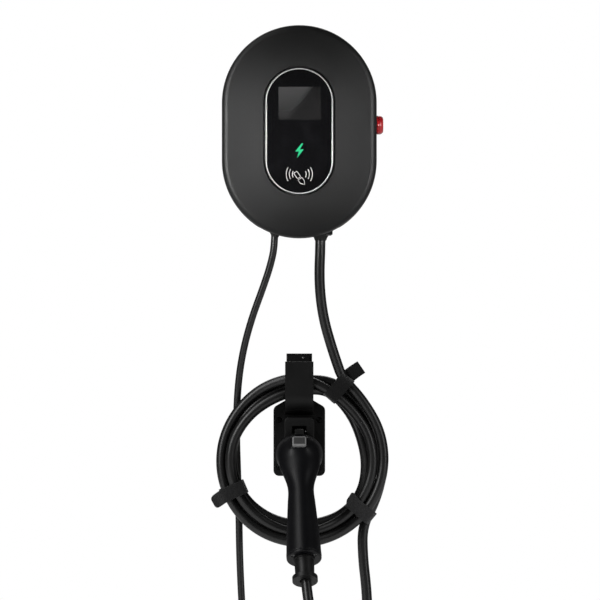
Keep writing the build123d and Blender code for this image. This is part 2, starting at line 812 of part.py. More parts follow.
# Holster: plate with shoulders, neck, J-shaped cable hook, latch cap and plug socket
lip_back = coil_back + coil_thick + 0.8
lip_front = lip_back + lip_wall
cradle_edge = lip_width / 2 + coil_x
cradle_bottom = coil_height + sqrt(coil_inner**2 - cradle_edge**2) - slip
with BuildPart() as holster:
    with BuildSketch(off_wall(0)) as plate_outline:
        with BuildLine():
            Polyline(
                (-plate_width / 2, plate_bottom),
                (plate_width / 2, plate_bottom),
                (plate_width / 2, plate_top),
                (neck_width / 2, shoulder_height),
                (neck_width / 2, neck_top),
                (-neck_width / 2, neck_top),
                (-neck_width / 2, shoulder_height),
                (-plate_width / 2, plate_top),
                close=True,
            )
        make_face()
        fillet(plate_outline.vertices().group_by(Axis.Y)[0], radius=plate_corner)
        shoulders = plate_outline.vertices().filter_by(lambda v: abs(v.Y - plate_top) < 0.01)
        fillet(shoulders, radius=plate_corner)
    extrude(amount=plate_thick)
    plate_front_edges = holster.faces().sort_by(Axis.Y)[0].edges()
    fillet(plate_front_edges, radius=1.8)
    with BuildSketch(off_wall(plate_thick)):
        with Locations((0, (neck_top + cradle_bottom) / 2)):
            Rectangle(neck_width - 8, neck_top - cradle_bottom - 8)
    extrude(amount=neck_thick - plate_thick)
    with BuildSketch(Plane.YZ.offset(-lip_width / 2)) as hook_profile:
        with BuildLine():
            Polyline(
                (-plate_thick + 2, gusset_bottom),
                (-lip_front, gusset_bottom + gusset_rise),
                (-lip_front, lip_top),
                (-lip_back, lip_top),
                (-lip_back, cradle_bottom),
                (-neck_thick, cradle_bottom),
                (-neck_thick, cradle_bottom + 12),
                (-plate_thick + 2, cradle_bottom + 12),
                close=True,
            )
        make_face()
        inside = hook_profile.vertices().filter_by(lambda v: abs(v.Y - cradle_bottom) < 0.01)
        fillet(inside, radius=cradle_corner)
        heel = hook_profile.vertices().sort_by_distance((-lip_front, gusset_bottom + gusset_rise))[0]
        fillet(heel, radius=gusset_radius)
        fillet(hook_profile.vertices().filter_by(lambda v: abs(v.Y - lip_top) < 0.01), radius=1.6)
    extrude(amount=lip_width)
    with BuildSketch(off_wall(plate_thick - 1)) as cap_outline:
        with Locations((0, (cap_top + plug_height) / 2)):
            Rectangle(cap_width, cap_top - plug_height)
        fillet(cap_outline.vertices().group_by(Axis.Y)[-1], radius=cap_corner)
        with Locations((0, plug_height)):
            Circle(socket_outer)
    extrude(amount=cap_front - plate_thick + 1)
    cap_edges = holster.faces().filter_by(Axis.Y).filter_by(
        lambda f: abs(f.center().Y + cap_front) < 0.01
    )[0].outer_wire().edges()
    fillet(cap_edges, radius=1.4)
    with BuildSketch(off_wall(shroud_back - 2)):
        with Locations((0, plug_height)):
            Circle(shroud_radius + socket_clearance)
    extrude(amount=cap_front, mode=Mode.SUBTRACT)
    with BuildSketch(off_wall(pocket_back)):
        with Locations((0, (pocket_top + pocket_bottom) / 2)):
            Rectangle(pocket_width, pocket_top - pocket_bottom)
    extrude(amount=cap_front - wall - pocket_back, mode=Mode.SUBTRACT)
    with BuildSketch(off_wall(pocket_back + 2)):
        with Locations((0, (window_top + window_bottom) / 2)):
            Rectangle(window_width, window_top - window_bottom)
    extrude(amount=cap_front, mode=Mode.SUBTRACT)
    for hole_height in (plate_hole_top, plate_hole_bottom):
        with BuildSketch(off_wall(0)):
            with Locations((-plate_hole_x, hole_height), (plate_hole_x, hole_height)):
                Circle(plate_hole_radius)
        extrude(amount=plate_thick, mode=Mode.SUBTRACT)
        with BuildSketch(off_wall(plate_thick - plate_counterbore_depth)):
            with Locations((-plate_hole_x, hole_height), (plate_hole_x, hole_height)):
                Circle(plate_counterbore_radius)
        extrude(amount=plate_thick, mode=Mode.SUBTRACT)
keep(holster, "holster_body")

# Coil of charging cable, as one solid of its outer shape
with BuildPart() as coil:
    with BuildSketch(Plane.XY.offset(coil_height)):
        with Locations((coil_x + (coil_outer + coil_inner) / 2, -coil_back - coil_thick / 2)):
            RectangleRounded(coil_outer - coil_inner, coil_thick, coil_corner)
    revolve(axis=Axis((coil_x, 0, coil_height), (0, 1, 0)))
keep(coil, "charging_cable_coil")

# Hook-and-loop straps, each across the bundle on a radial plane
coil_middle = (coil_outer + coil_inner) / 2
for number, (angle, reach, tail) in enumerate(zip(strap_angles, strap_reaches, strap_tails), start=1):
    outward = Vector(sin(radians(angle)), 0, cos(radians(angle)))
    along = Vector(cos(radians(angle)), 0, -sin(radians(angle)))
    ring_point = Vector(coil_x, -coil_back - coil_thick / 2, coil_height)
    centre = ring_point + outward * (coil_middle + reach / 2)
    strap_plane = Plane(origin=centre, x_dir=outward, z_dir=along)
    bundle_width = coil_outer - coil_inner + reach + 2 * strap_clearance
    bundle_thick = coil_thick + 2 * strap_clearance
    with BuildPart() as strap:
        with BuildSketch(strap_plane.offset(-strap_width / 2)):
            RectangleRounded(
                bundle_width + 2 * strap_thick, bundle_thick + 2 * strap_thick, coil_corner + strap_thick
            )
            with Locations((bundle_width / 2 + strap_thick + tail / 2 - 1, 0)):
                Rectangle(tail + 2, strap_tail_thick)
            RectangleRounded(bundle_width, bundle_thick, coil_corner, mode=Mode.SUBTRACT)
        extrude(amount=strap_width)
    keep(strap, f"strap_{number}")

# Connector: a domed head on the plug axis and a handle on its own tilted axis
lean_slope = tan(radians(handle_lean))
handle_direction = Vector(
    lean_slope * cos(radians(handle_tilt)), -sin(radians(handle_tilt)), -cos(radians(handle_tilt))
).normalized()
elbow = Vector(*in_room(0, elbow_depth, plug_height))
handle_length = (plug_height - handle_end_height) / -handle_direction.Z
head_dome = head_back + head_straight
head_stations = [(head_back, 1.0), (head_back + head_straight * 0.55, 1.0)] + [
    (head_dome + head_half_height * sin(radians(angle)), cos(radians(angle)))
    for angle in (0, 20, 40, 57, 71, 82)
]
handle_stations = [
    (14.0, 34.2, 22.0),
    (22.0, 32.6, 23.0),
    (31.0, 30.0, 23.6),
    (41.0, 26.4, 23.6),
    (51.0, 22.8, 22.6),
    (61.0, 20.8, 21.8),
    (78.0, 20.8, 21.4),
    (102.0, 22.4, 22.4),
    (130.0, 24.4, 24.2),
    (handle_length - 14, 26.5, 26.5),
    (handle_length, handle_end_radius, handle_end_radius),
]
button_normal = Vector(0, -0.75, 0.66).normalized()
button_plane = Plane(
    origin=Vector(*in_room(0, head_dome, plug_height)) + button_normal * head_half_height,
    x_dir=(1, 0, 0), z_dir=button_normal,
)
end_plane = Plane(
    origin=elbow + handle_direction * handle_length, x_dir=(1, 0, 0), z_dir=handle_direction
)
with BuildPart() as connector_shell:
    for depth, share in head_stations:
        with BuildSketch(off_wall(depth)):
            with Locations((0, plug_height)):
                Ellipse(head_half_width * share, head_half_height * share)
    loft()
    for distance, half_width, half_height in handle_stations:
        with BuildSketch(Plane(
            origin=elbow + handle_direction * distance, x_dir=(1, 0, 0), z_dir=handle_direction
        )):
            Ellipse(half_width, half_height)
    loft()
    with BuildSketch(off_wall(head_back)):
        with Locations((0, plug_height)):
            Circle(carrier_back_radius + slip)
    extrude(amount=carrier_back_length + 6, mode=Mode.SUBTRACT)
    with BuildSketch(end_plane):
        Circle(charge_cable_radius + 3)
    extrude(amount=-60, mode=Mode.SUBTRACT)
    with BuildSketch(Plane.YZ.offset(-latch_width / 2 - 1)):
        with BuildLine():
            Polyline(
                (-head_back + 1, -456),
                (-head_back - 9, -456),
                (-head_back - 12.5, -470.4),
                (-head_back - 27, -471.6),
                (-head_back - 38, -478),
                (-head_back - 45.5, -484),
                (-head_back - 43, -491),
                (-head_back - 8, -486),
                (-head_back + 1, -478),
                close=True,
            )
        make_face()
    extrude(amount=latch_width + 2, mode=Mode.SUBTRACT)
    with BuildSketch(button_plane.offset(-button_pocket)):
        RectangleRounded(button_width + 2 * slip, button_length + 2 * slip, button_corner + slip)
    extrude(amount=2 * button_pocket, mode=Mode.SUBTRACT)
    with BuildSketch(Plane.YZ.offset(-pin_length / 2)):
        with Locations((-pivot_depth, pivot_height)):
            Circle(pivot_radius + 0.01)
    extrude(amount=pin_length, mode=Mode.SUBTRACT)
keep(connector_shell, "connector_shell")

with BuildPart() as face_seal:
    with BuildSketch(off_wall(cap_front + 0.2)):
        with Locations((0, plug_height)):
            Circle(socket_outer)
            Circle(shroud_radius + 0.1, mode=Mode.SUBTRACT)
    extrude(amount=head_back - cap_front - 0.2)
keep(face_seal, "connector_seal")

with BuildPart() as connector_front:
    with BuildSketch(off_wall(shroud_back)):
        with Locations((0, plug_height)):
            Circle(shroud_radius)
            Circle(shroud_radius - shroud_wall, mode=Mode.SUBTRACT)
            Circle(carrier_radius)
    extrude(amount=head_back - 6 - shroud_back)
    with BuildSketch(off_wall(head_back - 6)):
        with Locations((0, plug_height)):
            Circle(shroud_radius)
    extrude(amount=6)
    with BuildSketch(off_wall(head_back)):
        with Locations((0, plug_height)):
            Circle(carrier_back_radius)
    extrude(amount=carrier_back_length)
    with BuildSketch(off_wall(shroud_back)):
        with Locations((0, plug_height)):
            with PolarLocations(pin_ring_radius, 6):
                Circle(pin_radius + 0.03)
            Circle(pin_radius + 0.03)
    extrude(amount=head_back + carrier_back_length - shroud_back, mode=Mode.SUBTRACT)
keep(connector_front, "connector_front")

with BuildPart() as contact_pins:
    with BuildSketch(off_wall(pin_front)):
        with Locations((0, plug_height)):
            with PolarLocations(pin_ring_radius, 6):
                Circle(pin_radius)
            Circle(pin_radius)
    extrude(amount=head_back + 18 - pin_front)
    with BuildSketch(off_wall(pin_front)):
        with Locations((0, plug_height)):
            with PolarLocations(pin_ring_radius, 6):
                Circle(pin_radius - 1)
            Circle(pin_radius - 1)
    extrude(amount=16, mode=Mode.SUBTRACT)
keep(contact_pins, "contact_pins")

# Latch lever on its pin in the top of the head, with the barb behind the window's sill
with BuildPart() as latch_lever:
    with BuildSketch(Plane.YZ.offset(-latch_width / 2)) as lever_side:
        with BuildLine():
            Polyline(
                (-latch_tip, latch_top),
                (-head_back - 5.4, latch_top),
                (-pivot_depth + 4.5, pivot_height + 4.3),
                (-pivot_depth - 4, pivot_height + 3.7),
                (-pivot_depth - 28.3, pivot_height - 5.8),
                (-pivot_depth - 26.5, pivot_height - 9.2),
                (-pivot_depth - 2, pivot_height - 4),
                (-pivot_depth + 5, pivot_height - 3.5),
                (-head_back - 1.4, latch_top - latch_thick),
                (-latch_tip - barb_length - 2.6, latch_top - latch_thick),
                (-latch_tip - barb_length - 2.6, barb_bottom),
                (-latch_tip - barb_length + 1, barb_bottom),
                (-latch_tip, latch_top - 3),
                close=True,
            )
        make_face()
    extrude(amount=latch_width)
    with BuildSketch(Plane.YZ.offset(-latch_width)):
        with Locations((-pivot_depth, pivot_height)):
            Circle(pivot_radius + pin_clearance)
    extrude(amount=2 * latch_width, mode=Mode.SUBTRACT)
keep(latch_lever, "latch_lever")

with BuildPart() as latch_pin:
    with BuildSketch(Plane.YZ.offset(-pin_length / 2)):
        with Locations((-pivot_depth, pivot_height)):
            Circle(pivot_radius)
    extrude(amount=pin_length)
keep(latch_pin, "latch_pin")

with BuildPart() as latch_button:
    with BuildSketch(button_plane.offset(-button_base)):
        RectangleRounded(button_width, button_length, button_corner)
    extrude(amount=button_base + button_proud)
    top_face = latch_button.faces().sort_by(lambda f: f.center().dot(button_normal))[-1]
    fillet(top_face.edges(), radius=1.2)
keep(latch_button, "latch_button")

# Tail of the handle: end cap, its screws and the cable gland with its flared mouth
cap_screw_ring = 20.5
cap_screw_angles = (35, 145, 270)
with BuildPart() as end_cap:
    with BuildSketch(end_plane):
        Circle(handle_end_radius - 0.4)
    extrude(amount=cap_thick)
    far_edge = end_cap.edges().sort_by(lambda e: (e.center() - end_plane.origin).dot(handle_direction))[-1]
    fillet(far_edge, radius=2.2)
    with BuildSketch(end_plane.offset(-1)):
        Circle(charge_cable_radius + 0.3)
    extrude(amount=cap_thick + 2, mode=Mode.SUBTRACT)
    with BuildSketch(end_plane.offset(cap_thick - 2.6)):
        for angle in cap_screw_angles:
            with Locations((cap_screw_ring * cos(radians(angle)), cap_screw_ring * sin(radians(angle)))):
                Circle(3.0)
    extrude(amount=cap_thick, mode=Mode.SUBTRACT)
keep(end_cap, "connector_end_cap")

with BuildPart() as end_cap_screws:
    with BuildSketch(end_plane.offset(cap_thick - 2.6)):
        for angle in cap_screw_angles:
            with Locations((cap_screw_ring * cos(radians(angle)), cap_screw_ring * sin(radians(angle)))):
                Circle(2.6)
                RegularPolygon(1.2, 6, mode=Mode.SUBTRACT)
    extrude(amount=1.6)
keep(end_cap_screws, "end_cap_screws")

tail_plane = Plane(
    origin=end_plane.origin + handle_direction * cap_thick, x_dir=(1, 0, 0), z_dir=handle_direction
)
with BuildPart() as tail_gland:
    with BuildSketch(tail_plane):
        Circle(tail_gland_radius + 1.2)
    extrude(amount=3)
    with BuildSketch(tail_plane.offset(3)):
        Circle(tail_gland_radius)
    extrude(amount=tail_gland_length - tail_bell_length - 3, taper=1.5)
    with BuildSketch(tail_plane.offset(tail_gland_length - tail_bell_length)):
        Circle(tail_bell_radius)
    extrude(amount=tail_bell_length)
    with BuildSketch(tail_plane):
        Circle(charge_cable_radius + 0.3)
    extrude(amount=tail_gland_length, mode=Mode.SUBTRACT)
keep(tail_gland, "connector_gland")

# Cables, by their centre lines
supply_route = [
    in_room(supply_gland_x, gland_depth, ledge_height + cable_entry),
    in_room(supply_gland_x, gland_depth, supply_nut_bottom - 17),
    in_room(-44.5, 38, -206),
    in_room(-57, 33, -243),
    in_room(-73, 27, -286),
    in_room(-85.5, 19, -330),
    in_room(-93.5, 12, -374),
    in_room(-97.5, 7.5, -422),
    in_room(-98.0, 5.7, -476),
    in_room(-96.2, 5.4, -530),
    in_room(-94.2, 5.6, -590),
    in_room(-93.4, 5.9, -648),
    in_room(-91.2, 5.6, -706),
    in_room(-88.0, 7.0, -762),
    in_room(-85.6, 8.0, -815),
]
drop_route = [
    in_room(charge_gland_x, gland_depth, ledge_height + cable_entry),
    in_room(charge_gland_x, gland_depth, charge_nut_bottom - 13.5),
    in_room(31.0, 39, -218),
    in_room(32.8, 36.5, -256),
    in_room(38.6, 34, -293),
    in_room(48.5, 32, -328),
    in_room(58.6, 31.2, -359),
    in_room(66.6, 30.6, -381.5),
]
tail_end = tail_plane.origin
tail_start = tail_end + handle_direction * 4
below_mouth = tail_end + handle_direction * (tail_gland_length + 20)
tail_route = [
    in_room(97.9, 30.6, -612),
    in_room(99.0, 30.7, -662),
    in_room(104.3, 31.0, -707),
    in_room(106.5, 32.5, -752),
    in_room(101.5, 40.5, -795),
    in_room(88.5, 65.0, -832.8),
    in_room(70.1, 103.0, -854.4),
    in_room(49.4, 145.8, -855.2),
    in_room(30.7, 184.5, -835.1),
    in_room(18.4, 211.4, -798.2),
    in_room(14.0, 221.0, -752),
    tuple(below_mouth),
    tuple(tail_start),
]
cable("supply_cable", supply_route, supply_cable_radius)
cable("charging_cable_drop", drop_route, charge_cable_radius)
cable("charging_cable_tail", tail_route, charge_cable_radius)
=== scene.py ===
import json
from math import cos, exp, pi, radians, sin

import bmesh
import bpy
from mathutils import Matrix, Vector


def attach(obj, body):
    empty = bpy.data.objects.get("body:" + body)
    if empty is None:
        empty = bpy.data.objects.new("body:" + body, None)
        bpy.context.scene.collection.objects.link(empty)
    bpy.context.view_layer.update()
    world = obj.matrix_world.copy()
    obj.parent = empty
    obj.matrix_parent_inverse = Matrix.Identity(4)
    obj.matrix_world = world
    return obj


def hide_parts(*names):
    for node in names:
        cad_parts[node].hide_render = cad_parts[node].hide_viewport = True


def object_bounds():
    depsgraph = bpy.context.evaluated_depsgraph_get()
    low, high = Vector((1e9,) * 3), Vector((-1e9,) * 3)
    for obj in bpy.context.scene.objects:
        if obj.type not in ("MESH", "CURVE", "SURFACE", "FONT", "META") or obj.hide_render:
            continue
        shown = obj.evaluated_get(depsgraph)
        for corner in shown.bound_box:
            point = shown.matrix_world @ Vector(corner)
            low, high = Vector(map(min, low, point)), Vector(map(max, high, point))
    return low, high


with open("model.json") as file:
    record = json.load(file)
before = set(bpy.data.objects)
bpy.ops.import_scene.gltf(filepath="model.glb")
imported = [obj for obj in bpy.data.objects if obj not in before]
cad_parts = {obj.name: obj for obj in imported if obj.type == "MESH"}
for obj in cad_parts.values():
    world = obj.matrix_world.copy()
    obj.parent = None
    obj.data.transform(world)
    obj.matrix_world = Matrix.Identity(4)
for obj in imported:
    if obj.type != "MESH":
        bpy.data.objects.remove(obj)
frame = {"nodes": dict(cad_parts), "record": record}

cad_low, cad_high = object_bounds()

# Lengths in the routes and tables are millimetres: side, distance off the wall, height.


def at(side, depth, height):
    """Point in the frame, in metres, from its side, its distance off the wall and its height."""
    return Vector((side, -depth, height)) / 1000


# ---- Camera, studio and floor

view_middle = at(1.1, 60, -260.5)
view_distance = 8.0
view_width = 0.93
camera_data = bpy.data.cameras.new("camera")
camera_data.sensor_width = 36
camera_data.lens = 36 * view_distance / view_width
camera_data.clip_end = 60
camera = bpy.data.objects.new("camera", camera_data)
camera.location = view_middle + Vector((0, -view_distance, 0))
camera.rotation_euler = (radians(90), 0, 0)
bpy.context.scene.collection.objects.link(camera)
bpy.context.scene.camera = camera


def hang_lamp(name, kind, place, aim, power):
    """Lamp of this kind that looks at a point; the caller sets its shape."""
    lamp_data = bpy.data.lights.new(name, kind)
    lamp_data.energy = power
    lamp = bpy.data.objects.new(name, lamp_data)
    lamp.location = place
    lamp.rotation_euler = (Vector(aim) - Vector(place)).to_track_quat("-Z", "Y").to_euler()
    bpy.context.scene.collection.objects.link(lamp)
    return lamp_data


def softbox(name, place, aim, size, power):
    """Large rectangular lamp."""
    lamp_data = hang_lamp(name, "AREA", place, aim, power)
    lamp_data.shape = "RECTANGLE"
    lamp_data.size, lamp_data.size_y = size


def cover_spot(name, place, aim, power):
    """Soft-edged spot that lifts one flank of the cover out of the dark."""
    lamp_data = hang_lamp(name, "SPOT", place, aim, power)
    lamp_data.spot_size = radians(9)
    lamp_data.spot_blend = 1.0
    lamp_data.shadow_soft_size = 0.12


softbox("key_softbox", (-1.7, -1.7, 0.6), (0, 0, -0.3), (0.6, 1.7), 24)
softbox("fill_softbox", (1.9, -1.4, 0.2), (0, 0, -0.3), (0.5, 1.7), 9)
softbox("top_softbox", (-1.0, -0.6, 1.5), (0, 0, -0.25), (0.9, 0.5), 6)
softbox("back_softbox", (0.0, 1.9, 1.2), (0, 0, -0.3), (1.6, 1.2), 12)
cover_spot("left_flank_spot", (-0.75, -1.1, 0.02), (-0.098, -0.1, -0.02), 280)
cover_spot("right_flank_spot", (0.75, -1.1, 0.02), (0.1, -0.1, -0.01), 160)

studio = bpy.data.worlds.new("studio")
studio.use_nodes = True
studio_nodes = studio.node_tree.nodes
studio_light = studio_nodes["Background"]
studio_light.inputs["Color"].default_value = (1, 1, 1, 1)
# The room glows faintly, a little more behind the object than on the camera's side
room = studio_nodes.new("ShaderNodeTexCoord")
room_parts = studio_nodes.new("ShaderNodeSeparateXYZ")
room_fall = studio_nodes.new("ShaderNodeMapRange")
room_fall.interpolation_type = "SMOOTHSTEP"
front_glow, back_glow = 0.03, 0.09
for label, number in (
    ("From Min", -0.15), ("From Max", 0.7), ("To Min", front_glow), ("To Max", back_glow),
):
    room_fall.inputs[label].default_value = number
studio.node_tree.links.new(room.outputs["Generated"], room_parts.inputs["Vector"])
studio.node_tree.links.new(room_parts.outputs["Y"], room_fall.inputs["Value"])
studio.node_tree.links.new(room_fall.outputs["Result"], studio_light.inputs["Strength"])
studio_seen = studio_nodes.new("ShaderNodeBackground")
studio_seen.inputs["Color"].default_value = (1, 1, 1, 1)
studio_seen.inputs["Strength"].default_value = 1.0
seen_or_light = studio_nodes.new("ShaderNodeMixShader")
ray = studio_nodes.new("ShaderNodeLightPath")
studio.node_tree.links.new(ray.outputs["Is Camera Ray"], seen_or_light.inputs["Fac"])
studio.node_tree.links.new(studio_light.outputs[0], seen_or_light.inputs[1])
studio.node_tree.links.new(studio_seen.outputs[0], seen_or_light.inputs[2])
studio.node_tree.links.new(
    seen_or_light.outputs[0], studio_nodes["World Output"].inputs["Surface"]
)
bpy.context.scene.world = studio
bpy.context.scene.view_settings.view_transform = "Standard"


# ---- Shared effects: small node groups that the finishes place with their own values


def effect(name, inputs, outputs):
    """Empty node group with named inputs, as name: (kind, value), and named outputs."""
    tree = bpy.data.node_groups.new(name, "ShaderNodeTree")
    for label, (kind, value) in inputs.items():
        socket = tree.interface.new_socket(label, in_out="INPUT", socket_type="NodeSocket" + kind)
        socket.default_value = value
    for label in outputs:
        tree.interface.new_socket(label, in_out="OUTPUT", socket_type="NodeSocketFloat")
    return tree, tree.nodes.new("NodeGroupInput").outputs, tree.nodes.new("NodeGroupOutput").inputs


def feed(tree, value, socket):
    """Join a socket to a socket, or set its number or colour."""
    if isinstance(value, bpy.types.NodeSocket):
        tree.links.new(value, socket)
    else:
        socket.default_value = value


def sums(tree, operation, first, second=0.0, clamp=False):
    """One step of arithmetic."""
    node = tree.nodes.new("ShaderNodeMath")
    node.operation = operation
    node.use_clamp = clamp
    feed(tree, first, node.inputs[0])
    feed(tree, second, node.inputs[1])
    return node.outputs[0]


def spread(tree, value, low, high, to_low=0.0, to_high=1.0):
    """Stretch one range of a value over another, clamped."""
    node = tree.nodes.new("ShaderNodeMapRange")
    feed(tree, value, node.inputs["Value"])
    for label, number in (
        ("From Min", low), ("From Max", high), ("To Min", to_low), ("To Max", to_high),
    ):
        feed(tree, number, node.inputs[label])
    return node.outputs["Result"]


def noise(tree, size, detail=2.0, stretch=(1, 1, 1), rough=0.5):
    """Noise over the piece's own coordinates, with lumps of this size in millimetres."""
    place = tree.nodes.new("ShaderNodeTexCoord")
    mapping = tree.nodes.new("ShaderNodeMapping")
    mapping.inputs["Scale"].default_value = stretch
    tree.links.new(place.outputs["Object"], mapping.inputs["Vector"])
    node = tree.nodes.new("ShaderNodeTexNoise")
    tree.links.new(mapping.outputs["Vector"], node.inputs["Vector"])
    feed(tree, sums(tree, "DIVIDE", 1000.0, size), node.inputs["Scale"])
    node.inputs["Detail"].default_value = detail
    node.inputs["Roughness"].default_value = rough
    return node.outputs["Fac"]


def moulded_grain():
    """Spark-eroded grain of a moulding, and slow patches where it filled unevenly."""
    tree, given, out = effect(
        "moulded_grain", {"Grain Size": ("Float", 0.6), "Patch Size": ("Float", 60.0)},
        ("Height", "Patch"),
    )
    pits = tree.nodes.new("ShaderNodeTexVoronoi")
    place = tree.nodes.new("ShaderNodeTexCoord")
    tree.links.new(place.outputs["Object"], pits.inputs["Vector"])
    feed(tree, sums(tree, "DIVIDE", 1000.0, given["Grain Size"]), pits.inputs["Scale"])
    lumps = noise(tree, given["Grain Size"], 3.0)
    total = sums(tree, "ADD", sums(tree, "MULTIPLY", pits.outputs["Distance"], 0.5), lumps)
    feed(tree, total, out["Height"])
    feed(tree, spread(tree, noise(tree, given["Patch Size"], 3.0), 0.3, 0.7), out["Patch"])
    return tree


def worn_edges():
    """Mask of the corners that hands and tools rub, broken up by noise."""
    tree, given, out = effect(
        "worn_edges", {"Radius": ("Float", 0.0012), "Broken Up": ("Float", 7.0)}, ("Worn",)
    )
    rounded = tree.nodes.new("ShaderNodeBevel")
    rounded.samples = 4
    feed(tree, given["Radius"], rounded.inputs["Radius"])
    true_face = tree.nodes.new("ShaderNodeNewGeometry")
    match = tree.nodes.new("ShaderNodeVectorMath")
    match.operation = "DOT_PRODUCT"
    tree.links.new(rounded.outputs["Normal"], match.inputs[0])
    tree.links.new(true_face.outputs["Normal"], match.inputs[1])
    corner = spread(tree, match.outputs["Value"], 0.995, 0.85)
    patchy = spread(tree, noise(tree, given["Broken Up"], 4.0), 0.38, 0.62)
    feed(tree, sums(tree, "MULTIPLY", corner, patchy), out["Worn"])
    return tree


def fine_scuffs():
    """Thin rubbed lines in two directions."""
    tree, given, out = effect("fine_scuffs", {"Size": ("Float", 14.0)}, ("Marks",))
    lines = []
    for stretch in ((6, 6, 0.5), (0.5, 6, 5)):
        value = noise(tree, given["Size"], 2.0, stretch)
        near = sums(tree, "ABSOLUTE", sums(tree, "SUBTRACT", value, 0.5))
        lines.append(spread(tree, near, 0.012, 0.0))
    thin = spread(tree, noise(tree, given["Size"], 1.0), 0.5, 0.62)
    feed(tree, sums(tree, "MULTIPLY", sums(tree, "MAXIMUM", *lines), thin), out["Marks"])
    return tree


def settled_dust():
    """Thin dust on what faces up."""
    tree, given, out = effect("settled_dust", {"Amount": ("Float", 0.2)}, ("Dust",))
    true_face = tree.nodes.new("ShaderNodeNewGeometry")
    parts = tree.nodes.new("ShaderNodeSeparateXYZ")
    tree.links.new(true_face.outputs["Normal"], parts.inputs["Vector"])
    upward = spread(tree, parts.outputs["Z"], 0.35, 1.0)
    lumps = spread(tree, noise(tree, 9.0, 5.0, rough=0.7), 0.35, 0.75)
    settled = sums(tree, "MULTIPLY", upward, lumps)
    feed(tree, sums(tree, "MULTIPLY", settled, given["Amount"]), out["Dust"])
    return tree


def drawn_lines():
    """Fine lines that drawing or brushing leaves along the height."""
    tree, given, out = effect("drawn_lines", {"Size": ("Float", 0.8)}, ("Lines",))
    feed(tree, noise(tree, given["Size"], 2.0, (1, 1, 0.03)), out["Lines"])
    return tree


def felted_pile():
    """Loose fibres of the soft side of hook-and-loop tape, with clumps."""
    tree, given, out = effect("felted_pile", {"Fibre": ("Float", 0.45)}, ("Fibres", "Clumps"))
    across = noise(tree, given["Fibre"], 4.0, (1, 1, 0.35), 0.7)
    along = noise(tree, given["Fibre"], 4.0, (0.35, 1, 1), 0.7)
    feed(tree, sums(tree, "MAXIMUM", across, along), out["Fibres"])
    feed(tree, spread(tree, noise(tree, 3.2, 4.0), 0.35, 0.65), out["Clumps"])
    return tree


grain_effect = moulded_grain()
edge_effect = worn_edges()
scuff_effect = fine_scuffs()
dust_effect = settled_dust()
line_effect = drawn_lines()
pile_effect = felted_pile()


# ---- Finishes


def shade(grey, tint=(1, 1, 1)):
    """Grey in linear light with a slight tint."""
    return (grey * tint[0], grey * tint[1], grey * tint[2], 1)


def start_finish(name, metallic=0.0, coat=0.0, coat_roughness=0.1, sheen=0.0, specular=0.5):
    """Material with its Principled shader, whose even values sit on the shader's own sockets."""
    material = bpy.data.materials.new(name)
    material.use_nodes = True
    shader = material.node_tree.nodes["Principled BSDF"]
    shader.inputs["Metallic"].default_value = metallic
    shader.inputs["Coat Weight"].default_value = coat
    shader.inputs["Coat Roughness"].default_value = coat_roughness
    shader.inputs["Sheen Weight"].default_value = sheen
    shader.inputs["Specular IOR Level"].default_value = specular
    return material, material.node_tree, shader.inputs


def place_effect(tree, source, **values):
    """Put a shared effect into a finish."""
    node = tree.nodes.new("ShaderNodeGroup")
    node.node_tree = source
    for label, value in values.items():
        feed(tree, value, node.inputs[label.replace("_", " ")])
    return node.outputs


def blend_colours(tree, share, first, second):
    """Mix of two colours by a mask."""
    node = tree.nodes.new("ShaderNodeMix")
    node.data_type = "RGBA"
    feed(tree, share, node.inputs["Factor"])
    feed(tree, first, node.inputs["A"])
    feed(tree, second, node.inputs["B"])
    return node.outputs["Result"]


def relief(tree, shader, height, depth, soften=0.0008):
    """Bump of this depth in metres over corners that are rounded for the light."""
    bump = tree.nodes.new("ShaderNodeBump")
    bump.inputs["Strength"].default_value = 1.0
    bump.inputs["Distance"].default_value = depth
    feed(tree, height, bump.inputs["Height"])
    if soften:
        corner = tree.nodes.new("ShaderNodeBevel")
        corner.samples = 4
        corner.inputs["Radius"].default_value = soften
        tree.links.new(corner.outputs["Normal"], bump.inputs["Normal"])
    tree.links.new(bump.outputs["Normal"], shader["Normal"])


def moulded_plastic(
    name, colour, roughness, grain=0.5, depth=0.00004, wear=0.3, dust=0.12, soften=0.0008,
    scuffs=0.09, **gloss,
):
    """Injection-moulded plastic or rubber: grain, uneven sheen, rubbed corners, scuffs and dust."""
    material, tree, shader = start_finish(name, **gloss)
    texture = place_effect(tree, grain_effect, Grain_Size=grain)
    worn = sums(tree, "MULTIPLY", place_effect(tree, edge_effect)["Worn"], wear)
    marks = place_effect(tree, scuff_effect)["Marks"]
    dusty = place_effect(tree, dust_effect, Amount=dust)["Dust"]
    darker = tuple(part * 0.86 for part in colour[:3]) + (1,)
    lighter = tuple(part * 1.14 for part in colour[:3]) + (1,)
    rubbed = tuple(min(1, part * 2 + 0.008) for part in colour[:3]) + (1,)
    tone = blend_colours(tree, texture["Patch"], darker, lighter)
    tone = blend_colours(tree, worn, tone, rubbed)
    tone = blend_colours(tree, dusty, tone, shade(0.22, (1, 0.97, 0.93)))
    feed(tree, tone, shader["Base Color"])
    uneven = spread(tree, texture["Patch"], 0, 1, roughness - 0.04, roughness + 0.04)
    uneven = sums(tree, "SUBTRACT", uneven, sums(tree, "MULTIPLY", marks, scuffs))
    uneven = sums(tree, "ADD", uneven, sums(tree, "MULTIPLY", dusty, 0.3), clamp=True)
    feed(tree, uneven, shader["Roughness"])
    relief(tree, shader, texture["Height"], depth, soften)
    return material


